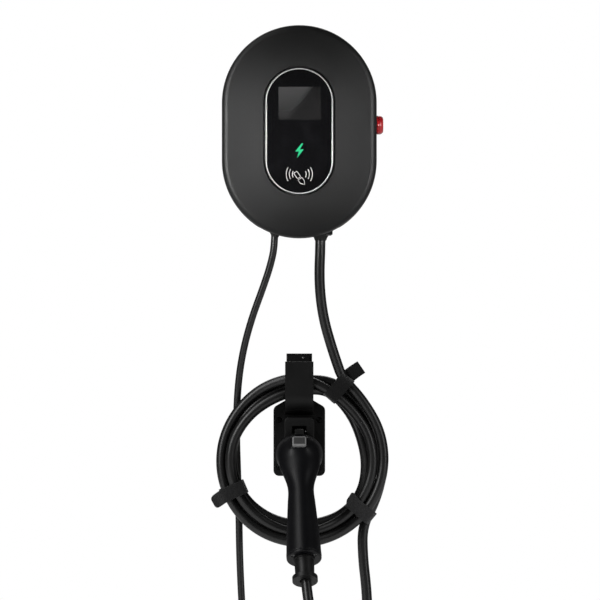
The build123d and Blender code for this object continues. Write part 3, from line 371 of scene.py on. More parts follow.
def drawn_metal(name, colour, roughness, line=0.8, depth=0.00001, tarnish=0.2, metallic=1.0):
    """Metal with drawing lines, faint tarnish and bright corners."""
    material, tree, shader = start_finish(name, metallic=metallic)
    lines = place_effect(tree, line_effect, Size=line)["Lines"]
    worn = place_effect(tree, edge_effect)["Worn"]
    patch = place_effect(tree, grain_effect, Grain_Size=2.0, Patch_Size=18.0)["Patch"]
    dull = tuple(part * (1 - tarnish) for part in colour[:3]) + (1,)
    bright = tuple(min(1, part * 1.15) for part in colour[:3]) + (1,)
    tone = blend_colours(tree, patch, colour, dull)
    feed(tree, blend_colours(tree, worn, tone, bright), shader["Base Color"])
    uneven = spread(tree, lines, 0.3, 0.7, roughness - 0.05, roughness + 0.07)
    feed(tree, sums(tree, "ADD", uneven, sums(tree, "MULTIPLY", patch, 0.06)), shader["Roughness"])
    relief(tree, shader, lines, depth)
    return material


def zinc_sheet(name):
    """Galvanised steel with its spangle."""
    material, tree, shader = start_finish(name, metallic=1.0)
    place = tree.nodes.new("ShaderNodeTexCoord")
    crystals = tree.nodes.new("ShaderNodeTexVoronoi")
    crystals.inputs["Scale"].default_value = 140
    tree.links.new(place.outputs["Object"], crystals.inputs["Vector"])
    flake = tree.nodes.new("ShaderNodeSeparateColor")
    tree.links.new(crystals.outputs["Color"], flake.inputs["Color"])
    worn = place_effect(tree, edge_effect)["Worn"]
    tone = blend_colours(tree, flake.outputs["Red"], shade(0.42), shade(0.6, (0.97, 0.99, 1.02)))
    feed(tree, blend_colours(tree, worn, tone, shade(0.72)), shader["Base Color"])
    feed(tree, spread(tree, flake.outputs["Green"], 0, 1, 0.3, 0.5), shader["Roughness"])
    relief(tree, shader, flake.outputs["Blue"], 0.00002)
    return material


# The ring's outline: half the length of its straight sides, and where the painted shade of the
# groove round it starts on its outer flank
ring_straight_half = 0.045
ring_groove_shade_radius = 0.0517


def framed_ring(name):
    """Satin bright line of the bezel, with painted shade of the groove on its outer flank."""
    material, tree, shader = start_finish(name, metallic=0.4)
    place = tree.nodes.new("ShaderNodeTexCoord")
    parts = tree.nodes.new("ShaderNodeSeparateXYZ")
    tree.links.new(place.outputs["Object"], parts.inputs["Vector"])
    height = sums(tree, "ABSOLUTE", parts.outputs["Z"])
    past_straight = sums(tree, "MAXIMUM", sums(tree, "SUBTRACT", height, ring_straight_half))
    across = sums(tree, "POWER", parts.outputs["X"], 2.0)
    reach = sums(tree, "SQRT", sums(tree, "ADD", across, sums(tree, "POWER", past_straight, 2.0)))
    # The lip mask is painted shade: past this radius the ring's outer flank is near black, for the
    # shade in the groove round the ring.
    lip = spread(tree, reach, ring_groove_shade_radius - 0.0001, ring_groove_shade_radius + 0.0001)
    lines = place_effect(tree, line_effect, Size=1.2)["Lines"]
    worn = place_effect(tree, edge_effect)["Worn"]
    bright = blend_colours(tree, lines, shade(0.56), shade(0.72))
    tone = blend_colours(tree, lip, bright, shade(0.012))
    rubbed = sums(tree, "MULTIPLY", worn, 0.3)
    feed(tree, blend_colours(tree, rubbed, tone, shade(0.9)), shader["Base Color"])
    feed(tree, spread(tree, lines, 0.3, 0.7, 0.34, 0.46), shader["Roughness"])
    relief(tree, shader, lines, 0.00001)
    return material


def display_glass(name):
    """Black back-printed panel with faint finger smears in its gloss."""
    material, tree, shader = start_finish(name, coat=0.6, coat_roughness=0.03, specular=0.45)
    smears = spread(tree, noise(tree, 26.0, 5.0, (1, 1, 0.6), 0.6), 0.5, 0.72)
    specks = spread(tree, noise(tree, 0.9, 2.0), 0.72, 0.8)
    cool = (0.95, 0.97, 1.1)
    tone = blend_colours(tree, smears, shade(0.003, cool), shade(0.0045, cool))
    feed(tree, blend_colours(tree, specks, tone, shade(0.03)), shader["Base Color"])
    feed(tree, spread(tree, smears, 0, 1, 0.07, 0.2), shader["Roughness"])
    relief(tree, shader, smears, 0.000004, 0.0006)
    return material


def dark_screen(name):
    """Switched-off screen: dark grey with a painted reflection that lightens it towards the top and
    its upper left corner, and a fine pixel grid.
    """
    material, tree, shader = start_finish(name, coat=0.5, coat_roughness=0.05)
    screen_rise = 0.0443
    pixel_waves = 9000.0
    place = tree.nodes.new("ShaderNodeTexCoord")
    lowered = tree.nodes.new("ShaderNodeMapping")
    lowered.inputs["Location"].default_value = (0, 0, -screen_rise)
    tree.links.new(place.outputs["Object"], lowered.inputs["Vector"])
    parts = tree.nodes.new("ShaderNodeSeparateXYZ")
    tree.links.new(lowered.outputs["Vector"], parts.inputs["Vector"])
    sideways = sums(tree, "MULTIPLY", parts.outputs["X"], 1.4)
    slant = sums(tree, "SUBTRACT", parts.outputs["Z"], sideways)
    # Painted reflection: the screen stays dark except towards its upper left corner, where it grows
    # lighter towards the top.
    painted_reflection_corner = spread(tree, slant, -0.009, 0.006)
    fall = spread(tree, parts.outputs["Z"], -0.026, 0.026)
    tone = blend_colours(tree, fall, shade(0.012), shade(0.05))
    tone = blend_colours(tree, painted_reflection_corner, shade(0.009), tone)
    rows = sums(tree, "SINE", sums(tree, "MULTIPLY", parts.outputs["Z"], pixel_waves))
    columns = sums(tree, "SINE", sums(tree, "MULTIPLY", parts.outputs["X"], pixel_waves))
    grid = spread(tree, sums(tree, "MULTIPLY", rows, columns), -1, 1)
    faint_grid = sums(tree, "MULTIPLY", grid, 0.12)
    feed(tree, blend_colours(tree, faint_grid, tone, shade(0.01)), shader["Base Color"])
    feed(tree, spread(tree, noise(tree, 20.0, 3.0), 0.3, 0.7, 0.16, 0.26), shader["Roughness"])
    relief(tree, shader, grid, 0.000001, 0)
    return material


def hook_and_loop(name, grey, fibre):
    """Soft tape: fibres, clumps and a dull sheen."""
    material, tree, shader = start_finish(name, sheen=0.35, specular=0.2)
    pile = place_effect(tree, pile_effect, Fibre=fibre)
    tone = blend_colours(tree, pile["Fibres"], shade(grey * 0.45), shade(grey * 1.5, (1, 1, 1.03)))
    tone = blend_colours(tree, sums(tree, "MULTIPLY", pile["Clumps"], 0.3), tone, shade(grey * 0.5))
    worn = place_effect(tree, edge_effect, Broken_Up=2.0)["Worn"]
    frayed = sums(tree, "MULTIPLY", worn, 0.5)
    feed(tree, blend_colours(tree, frayed, tone, shade(grey * 3)), shader["Base Color"])
    feed(tree, spread(tree, pile["Fibres"], 0.3, 0.7, 0.98, 0.85), shader["Roughness"])
    relief(tree, shader, sums(tree, "ADD", pile["Fibres"], pile["Clumps"]), 0.0004, 0)
    return material


def circuit_board(name):
    """Solder-masked board with tracks under the lacquer and tinned pads."""
    material, tree, shader = start_finish(name, coat=0.3)
    place = tree.nodes.new("ShaderNodeTexCoord")
    turn = tree.nodes.new("ShaderNodeMapping")
    turn.inputs["Rotation"].default_value = (radians(90), 0, 0)
    tree.links.new(place.outputs["Object"], turn.inputs["Vector"])
    tracks = tree.nodes.new("ShaderNodeTexBrick")
    tracks.inputs["Scale"].default_value = 120
    tracks.inputs["Mortar Size"].default_value = 0.03
    tracks.inputs["Color1"].default_value = (0, 0, 0, 1)
    tracks.inputs["Color2"].default_value = (0.25, 0.25, 0.25, 1)
    tracks.inputs["Mortar"].default_value = (1, 1, 1, 1)
    tree.links.new(turn.outputs["Vector"], tracks.inputs["Vector"])
    worn = place_effect(tree, edge_effect)["Worn"]
    lacquer, over_tracks = (0.008, 0.07, 0.022, 1), (0.02, 0.15, 0.05, 1)
    tone = blend_colours(tree, tracks.outputs["Color"], lacquer, over_tracks)
    feed(tree, blend_colours(tree, worn, tone, (0.3, 0.26, 0.16, 1)), shader["Base Color"])
    feed(tree, spread(tree, noise(tree, 4.0), 0.3, 0.7, 0.3, 0.45), shader["Roughness"])
    relief(tree, shader, tracks.outputs["Fac"], 0.00005)
    return material


def wound_copper(name):
    """Antenna track or winding: turns side by side."""
    material, tree, shader = start_finish(name, metallic=1.0)
    place = tree.nodes.new("ShaderNodeTexCoord")
    turns = tree.nodes.new("ShaderNodeTexWave")
    turns.inputs["Scale"].default_value = 420
    turns.inputs["Distortion"].default_value = 0.4
    tree.links.new(place.outputs["Object"], turns.inputs["Vector"])
    tone = blend_colours(tree, turns.outputs["Fac"], (0.32, 0.12, 0.05, 1), (0.8, 0.36, 0.18, 1))
    feed(tree, tone, shader["Base Color"])
    feed(tree, spread(tree, noise(tree, 3.0), 0.3, 0.7, 0.25, 0.4), shader["Roughness"])
    relief(tree, shader, turns.outputs["Fac"], 0.00006)
    return material


def floor_paint(name):
    """Matt pale studio floor."""
    material, tree, shader = start_finish(name)
    shader["Emission Color"].default_value = (1, 1, 1, 1)
    shader["Emission Strength"].default_value = 0.18
    patch = place_effect(tree, grain_effect, Grain_Size=3.0, Patch_Size=400.0)
    feed(tree, blend_colours(tree, patch["Patch"], shade(0.80), shade(0.84)), shader["Base Color"])
    feed(tree, spread(tree, patch["Patch"], 0, 1, 0.75, 0.85), shader["Roughness"])
    relief(tree, shader, patch["Height"], 0.00002, 0)
    return material


def insulated(name, colour):
    """Wire insulation."""
    return moulded_plastic(name, colour, 0.45, 1.0, 0.00001, wear=0.0)


def printed(name, colour, roughness):
    """Ink of the signs on the display panel."""
    return moulded_plastic(name, colour, roughness, 0.5, 0.00001, wear=0.0, dust=0.0, soften=0)


finishes = {
    "housing_plastic": moulded_plastic(
        "charcoal_housing", shade(0.006), 0.52, 0.55, 0.00005, wear=0.2, dust=0.06, specular=0.34,
    ),
    "panel_gloss": display_glass("black_display_glass"),
    "ring_chrome": framed_ring("bright_ring_painted_groove_shade"),
    "stop_red": moulded_plastic(
        "glossy_stop_red", (0.36, 0.005, 0.009, 1), 0.3, 0.3, 0.000002, wear=0.1, dust=0.02,
        coat=0.8, coat_roughness=0.05,
    ),
    "cable_rubber": moulded_plastic(
        "satin_cable_sheath", shade(0.004), 0.37, 1.2, 0.000003, wear=0.0, dust=0.03, soften=0,
        scuffs=0.01, specular=0.8,
    ),
    "holster_plastic": moulded_plastic(
        "black_holster", shade(0.005), 0.46, 0.45, 0.00004, wear=0.25, dust=0.03, specular=0.36,
    ),
    "connector_plastic": moulded_plastic(
        "blue_black_grip", shade(0.0024, (0.95, 0.98, 1.5)), 0.4, 0.35, 0.00003, wear=0.25,
        dust=0.02, specular=0.34,
    ),
    "button_grey": moulded_plastic(
        "grey_button", shade(0.34), 0.5, 0.6, 0.00003, wear=0.3, dust=0.05,
    ),
    "strap_fabric": hook_and_loop("soft_strap_tape", 0.02, 0.5),
    "gland_plastic": moulded_plastic(
        "black_gland_nylon", shade(0.005), 0.42, 0.4, 0.00002, wear=0.3,
    ),
    "seal_rubber": moulded_plastic("seal_rubber_matt", shade(0.012), 0.75, 0.9, 0.00003, wear=0.1),
    "steel_sheet": zinc_sheet("galvanised_bracket"),
    "steel_screw": drawn_metal("zinc_screw", shade(0.6), 0.3, 0.5),
    "board_green": circuit_board("lacquered_board"),
    "component_dark": moulded_plastic("component_resin", shade(0.03), 0.55, 0.4, wear=0.2),
    "terminal_grey": moulded_plastic(
        "terminal_polyamide", shade(0.3, (0.96, 1, 0.97)), 0.5, 0.5, wear=0.2,
    ),
    "screen_grey": dark_screen("dark_screen_film"),
    "copper_coil": wound_copper("antenna_copper"),
    "contact_silver": drawn_metal("silvered_contact", shade(0.82, (1, 0.98, 0.94)), 0.22, 0.4),
    "wire_insulation": insulated("wire_insulation_blue", (0.03, 0.07, 0.22, 1)),
    "ribbon_grey": moulded_plastic("ribbon_film", shade(0.42), 0.4, 0.8, 0.00002, wear=0.1),
}
brown_wire = insulated("wire_insulation_brown", (0.12, 0.035, 0.012, 1))
earth_wire = insulated("wire_insulation_green", (0.16, 0.3, 0.02, 1))
ferrule_metal = drawn_metal("tinned_ferrule", shade(0.7), 0.25, 0.4)
printed_green = printed("printed_green", (0.006, 0.4, 0.16, 1), 0.4)
printed_white = printed("printed_white", shade(0.42), 0.45)
smooth_strap = hook_and_loop("close_woven_strap", 0.006, 0.25)
pale_strap = hook_and_loop("worn_strap_tape", 0.045, 0.7)
latch_plastic = moulded_plastic("dark_latch", shade(0.01), 0.3, 0.5, 0.00002, wear=0.9)
worn_steel = drawn_metal("worn_steel", shade(0.7), 0.35, 0.5, metallic=0.6)
# Plate screws: a blackened finish, made near black so that it also stands for painted shade in the
# plate's screw recesses.
recess_shaded_screw = moulded_plastic(
    "blackened_screw_painted_recess_shade", shade(0.002), 0.5, 0.3, 0.00001, wear=0.12, dust=0.0, specular=0.2,
)
dark_pad = moulded_plastic("button_pad_rubber", shade(0.06), 0.6, 1.6, 0.0003, wear=0.6)

node_slots = {part["node"]: part["material_slot"] for part in frame["record"]["subparts"]}
for node_name, node in frame["nodes"].items():
    for material_slot in node.material_slots:
        material_slot.material = finishes[node_slots[node_name]]
for material_slot in frame["nodes"]["latch_lever"].material_slots:
    material_slot.material = latch_plastic


# ---- Pieces


def finish_piece(name, shape, finish, body="wallbox", sharp=35):
    """Turn a bmesh into a smooth-shaded piece with its finish, that rides a body."""
    bmesh.ops.remove_doubles(shape, verts=shape.verts, dist=0.00001)
    bmesh.ops.recalc_face_normals(shape, faces=shape.faces)
    mesh = bpy.data.meshes.new(name)
    shape.to_mesh(mesh)
    shape.free()
    mesh.materials.append(finish)
    mesh.shade_smooth()
    mesh.set_sharp_from_angle(angle=radians(sharp))
    piece = bpy.data.objects.new(name, mesh)
    bpy.context.scene.collection.objects.link(piece)
    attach(piece, body)
    return piece


def new_verts(made):
    """Vertices among what an operator made."""
    return [item for item in made["geom"] if isinstance(item, bmesh.types.BMVert)]


def set_on(shape, origin, direction):
    """Move a shape so that its Z runs along a direction from a point."""
    turn = Vector(direction).to_track_quat("Z", "Y").to_matrix().to_4x4()
    bmesh.ops.transform(shape, matrix=Matrix.Translation(origin) @ turn, verts=shape.verts)


def turned(profile, steps=32):
    """Lathe a profile of (radius, height) pairs in millimetres round Z."""
    shape = bmesh.new()
    points = [shape.verts.new((radius / 1000, 0, height / 1000)) for radius, height in profile]
    edges = [shape.edges.new(pair) for pair in zip(points, points[1:])]
    bmesh.ops.spin(
        shape, geom=points + edges, cent=(0, 0, 0), axis=(0, 0, 1), angle=2 * pi, steps=steps,
        use_merge=True,
    )
    bmesh.ops.remove_doubles(shape, verts=shape.verts, dist=0.00001)
    return shape


def cord_line(name, points, radius, finish):
    """Round cord along one smooth spline."""
    curve = bpy.data.curves.new(name, "CURVE")
    curve.dimensions = "3D"
    curve.bevel_depth = radius / 1000
    curve.bevel_resolution = 8
    curve.resolution_u = 10
    curve.use_fill_caps = True
    line = curve.splines.new("NURBS")
    line.points.add(len(points) - 1)
    for control, point in zip(line.points, points):
        control.co = (*point, 1)
    line.order_u = 3
    line.use_endpoint_u = True
    curve.materials.append(finish)
    cord = bpy.data.objects.new(name, curve)
    bpy.context.scene.collection.objects.link(cord)
    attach(cord, "wallbox")
    return cord


# ---- Cords

supply_line = [
    at(-37.5, 40, -119), at(-37.5, 40, -172), at(-44.5, 38, -206), at(-57, 33, -243),
    at(-73, 27, -286), at(-85.5, 19, -330), at(-93.5, 12, -374), at(-97.5, 7.5, -422),
    at(-98.0, 5.7, -476), at(-96.2, 5.4, -530), at(-94.2, 5.6, -590), at(-93.4, 5.9, -648),
    at(-91.2, 5.6, -706), at(-88.0, 7.0, -762), at(-85.6, 8.0, -815),
]
drop_line = [
    at(33, 40, -119), at(33, 40, -174), at(31.0, 39, -218), at(32.8, 36.5, -256),
    at(38.6, 34, -293), at(48.5, 32, -328), at(58.6, 31.2, -359), at(66.6, 30.8, -381.5),
]
tail_line = [
    at(97.9, 30.6, -612), at(99.0, 30.7, -662), at(104.3, 31.0, -707), at(106.5, 32.5, -752),
    at(101.5, 40.5, -795), at(88.5, 65.0, -832.8), at(70.1, 103.0, -854.4), at(49.4, 145.8, -855.2),
    at(33.5, 184.5, -835.1), at(25.5, 211.4, -798.2), at(20.5, 220.0, -752),
    at(11.4, 214.06, -705.5), at(7.58, 185.5, -659.8),
]

coil_side = 4.6
coil_height = -511.6
# Clock angle from the top, counted on from turn to turn, then distance from the coil's middle
# and off the wall: the cord changes its place in the bundle as it goes round.
coil_stations = (
    (45, 131, 37), (80, 126.5, 37), (105, 125, 38.6), (129.5, 123.5, 39.8), (180, 125, 38),
    (213, 126, 34.5), (246.5, 125.8, 30.6), (275, 126, 25.5), (309, 126.5, 25), (333, 129, 28),
    (357, 130, 37.5), (381, 116.5, 41.3), (405, 110, 40.2), (429, 110, 40.8), (465, 109.2, 40.3),
    (489.5, 107.5, 39.4), (540, 110.8, 31.2), (573, 109.8, 36), (606.5, 110, 39),
    (635, 113.5, 39.8), (669, 108.5, 40), (693, 106.5, 37), (717, 109.5, 30), (741, 117, 22.6),
    (765, 105, 23), (789, 97.5, 31), (825, 99, 28), (849.5, 107.2, 21.8), (870, 100, 21.5),
    (900, 97.5, 22.6), (933, 101.5, 21.8), (966.5, 107.5, 22), (1005, 110.5, 23),
    (1029, 113.5, 21.8), (1053, 114.5, 21), (1077, 124, 20.9), (1101, 132, 22),
    (1125, 123.5, 22.4), (1160, 124, 21.5), (1185, 125.5, 22.3), (1200, 127, 23.2),
)
points_per_turn = 15
coil_step = 360 / points_per_turn


def on_coil(clock, radius, depth, aside=0.0):
    """Point by the coil's clock, its distance from the middle and off the wall."""
    angle = radians(clock)
    return at(
        coil_side + radius * sin(angle) + aside * cos(angle), depth,
        coil_height + radius * cos(angle) - aside * sin(angle),
    )


def coil_place(clock):
    """Radius and depth between the two stations on each side of a clock angle."""
    for (before, *low), (after, *high) in zip(coil_stations, coil_stations[1:]):
        if before <= clock <= after:
            share = (clock - before) / (after - before)
            return [a + (b - a) * share for a, b in zip(low, high)]
    return coil_stations[-1][1:]


coil_line = []
for point_number in range(int((coil_stations[-1][0] - coil_stations[0][0]) / coil_step) + 1):
    clock = coil_stations[0][0] + point_number * coil_step
    radius, depth = coil_place(clock)
    coil_line.append(on_coil(clock, radius / cos(radians(coil_step / 2)), depth))

supply_radius = 5.5
charging_radius = 8
sheath = finishes["cable_rubber"]
supply_cable = cord_line("supply_sheath", supply_line, supply_radius, sheath)
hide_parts("supply_cable")
charging_cable = cord_line(
    "charging_cord", drop_line + coil_line + tail_line, charging_radius, sheath,
)
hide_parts("charging_cable_drop", "charging_cable_coil", "charging_cable_tail")

# The supply lead ends in three cores with crimped ferrules, ready for a junction box
supply_end = supply_line[-1]
supply_heading = (supply_line[-1] - supply_line[-2]).normalized()
core_side = supply_heading.cross(Vector((0, 1, 0))).normalized()
supply_cores = []
for number, (offset, wire_finish) in enumerate(
    ((-1.9, brown_wire), (0.0, finishes["wire_insulation"]), (1.9, earth_wire)), start=1
):
    start = supply_end - supply_heading * 0.008 + core_side * offset / 1000
    spread_out = core_side * offset / 700
    middle = supply_end + supply_heading * 0.009 + spread_out
    tip = supply_end + supply_heading * 0.019 + spread_out * 2
    core = cord_line(
        f"supply_core_{number}", [start, middle, tip], 1.25, wire_finish,
    )
    ferrule = turned((
        (0, -2), (1.35, -2), (1.75, -1.5), (1.75, 2.5), (1.1, 3.2), (1.1, 10), (0.9, 10.6),
        (0, 10.6),
    ), 20)
    set_on(ferrule, tip, tip - middle)
    crimped = finish_piece(f"ferrule_{number}", ferrule, ferrule_metal)
    supply_cores += [core, crimped]

# ---- Hook-and-loop straps: one tape each, wound round the bundle, with a free end


def wound_strap(name, clock, width, path, finish, thick=1.7):
    """Tape along (radius, depth, aside, turn, width share) stations at one place of the coil."""
    shape = bmesh.new()
    row = []
    for radius, depth, aside, turn, share in path:
        across = Vector((cos(radians(clock + turn)), 0, -sin(radians(clock + turn))))
        middle = on_coil(clock, radius, depth, aside)
        breadth = across * width * share / 1000
        row.append((shape.verts.new(middle - breadth / 2), breadth))
    edges = [shape.edges.new((a[0], b[0])) for a, b in zip(row, row[1:])]
    for vert in new_verts(bmesh.ops.extrude_edge_only(shape, edges=edges)):
        home = min(row, key=lambda station: (station[0].co - vert.co).length)
        vert.co += home[1]
    # The edges across the tape, and of its two ends only one that isn't narrowed
    narrow_end = 0.6 * width / 1000
    crosswise = [edge for edge in shape.edges if edge not in edges and len(edge.link_faces) == 2]
    crosswise += [
        edge for edge in shape.edges
        if len(edge.link_faces) == 1 and edge.calc_length() > narrow_end
        and all(vert.link_faces and len(vert.link_faces) == 1 for vert in edge.verts)
    ]
    bmesh.ops.subdivide_edges(shape, edges=crosswise, cuts=2, use_grid_fill=True)
    piece = finish_piece(name, shape, finish)
    smooth = piece.modifiers.new("even_curves", "SUBSURF")
    smooth.levels = smooth.render_levels = 2
    smooth.boundary_smooth = "PRESERVE_CORNERS"
    wall = piece.modifiers.new("tape_thickness", "SOLIDIFY")
    wall.thickness = thick / 1000
    wall.offset = 0
    hem = piece.modifiers.new("soft_hem", "BEVEL")
    hem.width = 0.0004
    hem.segments = 2
    return piece


strap_1 = wound_strap("strap_upper_right", 28.6, 23, (
    (173, 27, 10.5, 27, 0.94), (162, 29, 4.5, 24, 0.96), (152, 28, 0, 16, 0.97),
    (147, 20, -1, 12, 1), (142, 13.2, -2, 12, 1), (125, 12.2, -5.5, 12, 1),
    (112, 12.4, -9, 12, 1), (106, 17, -10, 12, 1), (105.2, 30, -10.2, 12, 1),
    (106, 44, -10, 12, 1), (111, 49.6, -9, 12, 1), (125, 50, -5.5, 12, 1), (139, 48.4, -2, 11, 1),
    (147.5, 42, 0, 9, 1), (149.5, 33, 0.5, 8, 1), (149, 24, 0.5, 8, 1),
), smooth_strap)
strap_2 = wound_strap("strap_lower_left", 246.8, 21.5, (
    (152.8, 34, -5, -6, 0.5), (151.4, 35, -5, -6, 0.88), (147, 37, -4, -6, 1),
    (140, 42, -2.4, -4, 1), (134, 48, -1, -2, 1), (122, 50.6, 0, 0, 1), (107, 50.6, 0, 0, 1),
    (98.2, 47, 0, 0, 1), (96, 36, 0, 0, 1), (96, 22, 0, 0, 1), (99, 13.8, 0, 0, 1),
    (116, 12.2, 0, 0, 1), (131, 13, 0, 0, 1), (136, 20, 0, 0, 1), (136.4, 32, 0, 0, 1),
    (134, 43.5, 0, 0, 1), (128, 47.6, 0, 0, 1), (118, 48.4, 0, 0, 1),
), finishes["strap_fabric"])
strap_3 = wound_strap("strap_lower_right", 129.5, 22, (
    (90, 55, -5, -6, 0.6), (92.5, 55.5, -4, -5, 0.95), (97, 53, -2, -3, 1), (105, 51.2, 0, 0, 1),
    (126, 50.8, 0, 0, 1), (136.5, 47, 0, 0, 1), (140.6, 38, 0, 0, 1), (141, 26, 0, 0, 1),
    (136, 15, 0, 0, 1), (124, 12.2, 0, 0, 1), (108, 12, 0, 0, 1), (98.6, 13.4, 0, 0, 1),
    (96.4, 22, 0, 0, 1), (95.4, 34, 0, 0, 1), (96.6, 45, 0, 0, 1), (102, 48.6, 0, 0, 1),
    (112, 49, 0, 0, 1),
), pale_strap)
for strap_piece, strap_node in ((strap_1, "strap_1"), (strap_2, "strap_2"), (strap_3, "strap_3")):
    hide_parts(strap_node)

# ---- Display: the screen's window, a plain charging bolt and the card-reader sign

panel_face = 102.0


def plate_from(outline, back, front, corner=0.0):
    """Thin plate from an outline of (side, height) points in millimetres, between two depths."""
    shape = bmesh.new()
    points = [shape.verts.new(at(side, back, height)) for side, height in outline]
    face = shape.faces.new(points)
    if corner:
        bmesh.ops.bevel(
            shape, geom=list(shape.verts), offset=corner / 1000, affect="VERTICES", segments=6,
            profile=0.5, material=-1,
        )
    raised = bmesh.ops.extrude_face_region(shape, geom=list(shape.faces))
    bmesh.ops.translate(shape, vec=(0, (back - front) / 1000, 0), verts=new_verts(raised))
    return shape


screen_middle = (0.6, 42.9)
screen_half = (32.6, 25.2)
screen_outline = [
    (screen_middle[0] + side * screen_half[0], screen_middle[1] + rise * screen_half[1])
    for side, rise in ((-1, -1), (1, -1), (1, 1), (-1, 1))
]
finish_piece("screen_window", plate_from(screen_outline, panel_face - 0.6, panel_face + 0.12, 0.7),
             finishes["screen_grey"])

bolt_outline = [
    (3.4, -19), (-6.2, -31.6), (-0.8, -31.6), (-3.4, -41.6), (6.6, -28.2), (1.0, -28.2), (6.2, -19),
]
finish_piece("charging_bolt", plate_from(bolt_outline, panel_face - 0.4, panel_face + 0.1, 0.35),
             printed_green)


def arc_strip(radius, half_angle, turn, thick=1.1, middle=(0.0, -66.5)):
    """Curved bar of the reader sign, as a spun edge given a thickness."""
    shape = bmesh.new()
    ends = [
        shape.verts.new(at(middle[0] + r * cos(radians(turn - half_angle)), panel_face - 0.3,
                           middle[1] + r * sin(radians(turn - half_angle))))
        for r in (radius - thick / 2, radius + thick / 2)
    ]
    edge = shape.edges.new(ends)
    bmesh.ops.spin(
        shape, geom=ends + [edge], cent=at(middle[0], panel_face, middle[1]), axis=(0, -1, 0),
        angle=radians(2 * half_angle), steps=16,
    )
    raised = bmesh.ops.extrude_face_region(shape, geom=list(shape.faces))
    bmesh.ops.translate(shape, vec=(0, -0.0004, 0), verts=new_verts(raised))
    return shape


reader_arcs = ((10.6, 27), (15.4, 29), (20.2, 31))
for side_name, turn in (("right", 0), ("left", 180)):
    for ring_number, (arc_radius, half_angle) in enumerate(reader_arcs, start=1):
        arc = arc_strip(arc_radius, half_angle, turn)
        finish_piece(f"reader_arc_{side_name}_{ring_number}", arc, printed_white)

card_turn = radians(-54)
sign_middle = (0.7, -73.2)


def sign_point(along, up):
    """Point of the tilted card and pointer of the reader sign."""
    return (
        sign_middle[0] + along * cos(card_turn) - up * sin(card_turn),
        sign_middle[1] + along * sin(card_turn) + up * cos(card_turn),
    )


def outlined(name, outline, corner):
    """Printed outline: a thin plate with its middle inset and taken away."""
    placed = [sign_point(*point) for point in outline]
    shape = plate_from(placed, panel_face - 0.3, panel_face + 0.08, corner)
    front = -(panel_face + 0.05) / 1000
    faces = [face for face in shape.faces if face.calc_center_median().y < front]
    bmesh.ops.inset_region(shape, faces=faces, thickness=0.0009, depth=0)
    bmesh.ops.delete(shape, geom=faces, context="FACES")
    finish_piece(name, shape, printed_white)


outlined("reader_card", ((-12.4, -3.4), (-1.2, -3.4), (-1.2, 3.4), (-12.4, 3.4)), 1.3)
outlined("reader_pointer", ((0, -4.2), (6.5, -4.2), (12.6, 0.6), (7.2, 4.2), (0, 4.2)), 1.0)

# ---- Stop head: turned, with a soft rim and a shallow groove round its middle

stop_cap = turned((
    (0, 12.1), (6.2, 12.3), (7.6, 12.9), (9.4, 13.1), (11.6, 12.5), (13.3, 10.9), (14.5, 8.8),
    (14.9, 7.2), (14.5, 6.5), (14.5, 6.1), (14.9, 5.4), (14.6, 3.2), (13.4, 1.3), (11.6, 0.3),
    (9.8, 0), (0, 0),
), 56)
set_on(stop_cap, at(117.4, 38, 11.4), (1, 0, 0))
stop_piece = finish_piece(
    "stop_cap", stop_cap, finishes["stop_red"], body="stop_head", sharp=60,
)
stop_soft = stop_piece.modifiers.new("soft_rim", "SUBSURF")
stop_soft.levels = stop_soft.render_levels = 1
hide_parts("estop_head")

# ---- Connector shell: the moulding with its head and grip flowing into each other

shell_voxel = 0.0012
shell_copy = bmesh.new()
shell_copy.from_mesh(frame["nodes"]["connector_shell"].data)
bmesh.ops.remove_doubles(shell_copy, verts=shell_copy.verts, dist=0.000002)
shell_mesh = bpy.data.meshes.new("shell_merged")
shell_copy.to_mesh(shell_mesh)
shell_copy.free()
shell_form = bpy.data.objects.new("shell_merged", shell_mesh)
bpy.context.scene.collection.objects.link(shell_form)
even_mesh = shell_form.modifiers.new("even_mesh", "REMESH")
even_mesh.mode = "VOXEL"
even_mesh.voxel_size = shell_voxel
graph = bpy.context.evaluated_depsgraph_get()
even = bpy.data.meshes.new_from_object(shell_form.evaluated_get(graph))
bpy.data.objects.remove(shell_form)
shell = bmesh.new()
shell.from_mesh(even)
every_axis = {"factor": 0.5, "use_axis_x": True, "use_axis_y": True, "use_axis_z": True}
bmesh.ops.smooth_vert(shell, verts=shell.verts, **every_axis)

# Fill out the sides of the neck, where the head flows into the grip
neck_height = -0.521
neck_spread = 0.011
neck_fullness = 0.075
for vert in shell.verts:
    vert.co.x *= 1 + neck_fullness * exp(-((vert.co.z - neck_height) / neck_spread) ** 2)

# Keep the button's pocket a little wider and deeper than the button, so that it clears as it moves
button_home = at(0, 101.27, -478.52)
button_out = Vector((0, -0.7507, 0.6606)).normalized()
button_up = button_out.cross(Vector((1, 0, 0)))
pocket_half = (0.0122, 0.0104)
pocket_floor_half = (0.0100, 0.0082)
pocket_depth = 0.009
pocket_rim = 0.0005
pocket_wider, pocket_longer, pocket_deeper = 0.06, 0.07, 0.0006
for vert in shell.verts:
    offset = vert.co - button_home
    aside, along, deep = offset.x, offset.dot(button_up), offset.dot(button_out)
    over_pocket = abs(aside) < pocket_half[0] and abs(along) < pocket_half[1]
    if over_pocket and -pocket_depth < deep < pocket_rim:
        vert.co += Vector((aside * pocket_wider, 0, 0)) + button_up * along * pocket_longer
        if abs(aside) < pocket_floor_half[0] and abs(along) < pocket_floor_half[1]:
            vert.co -= button_out * pocket_deeper

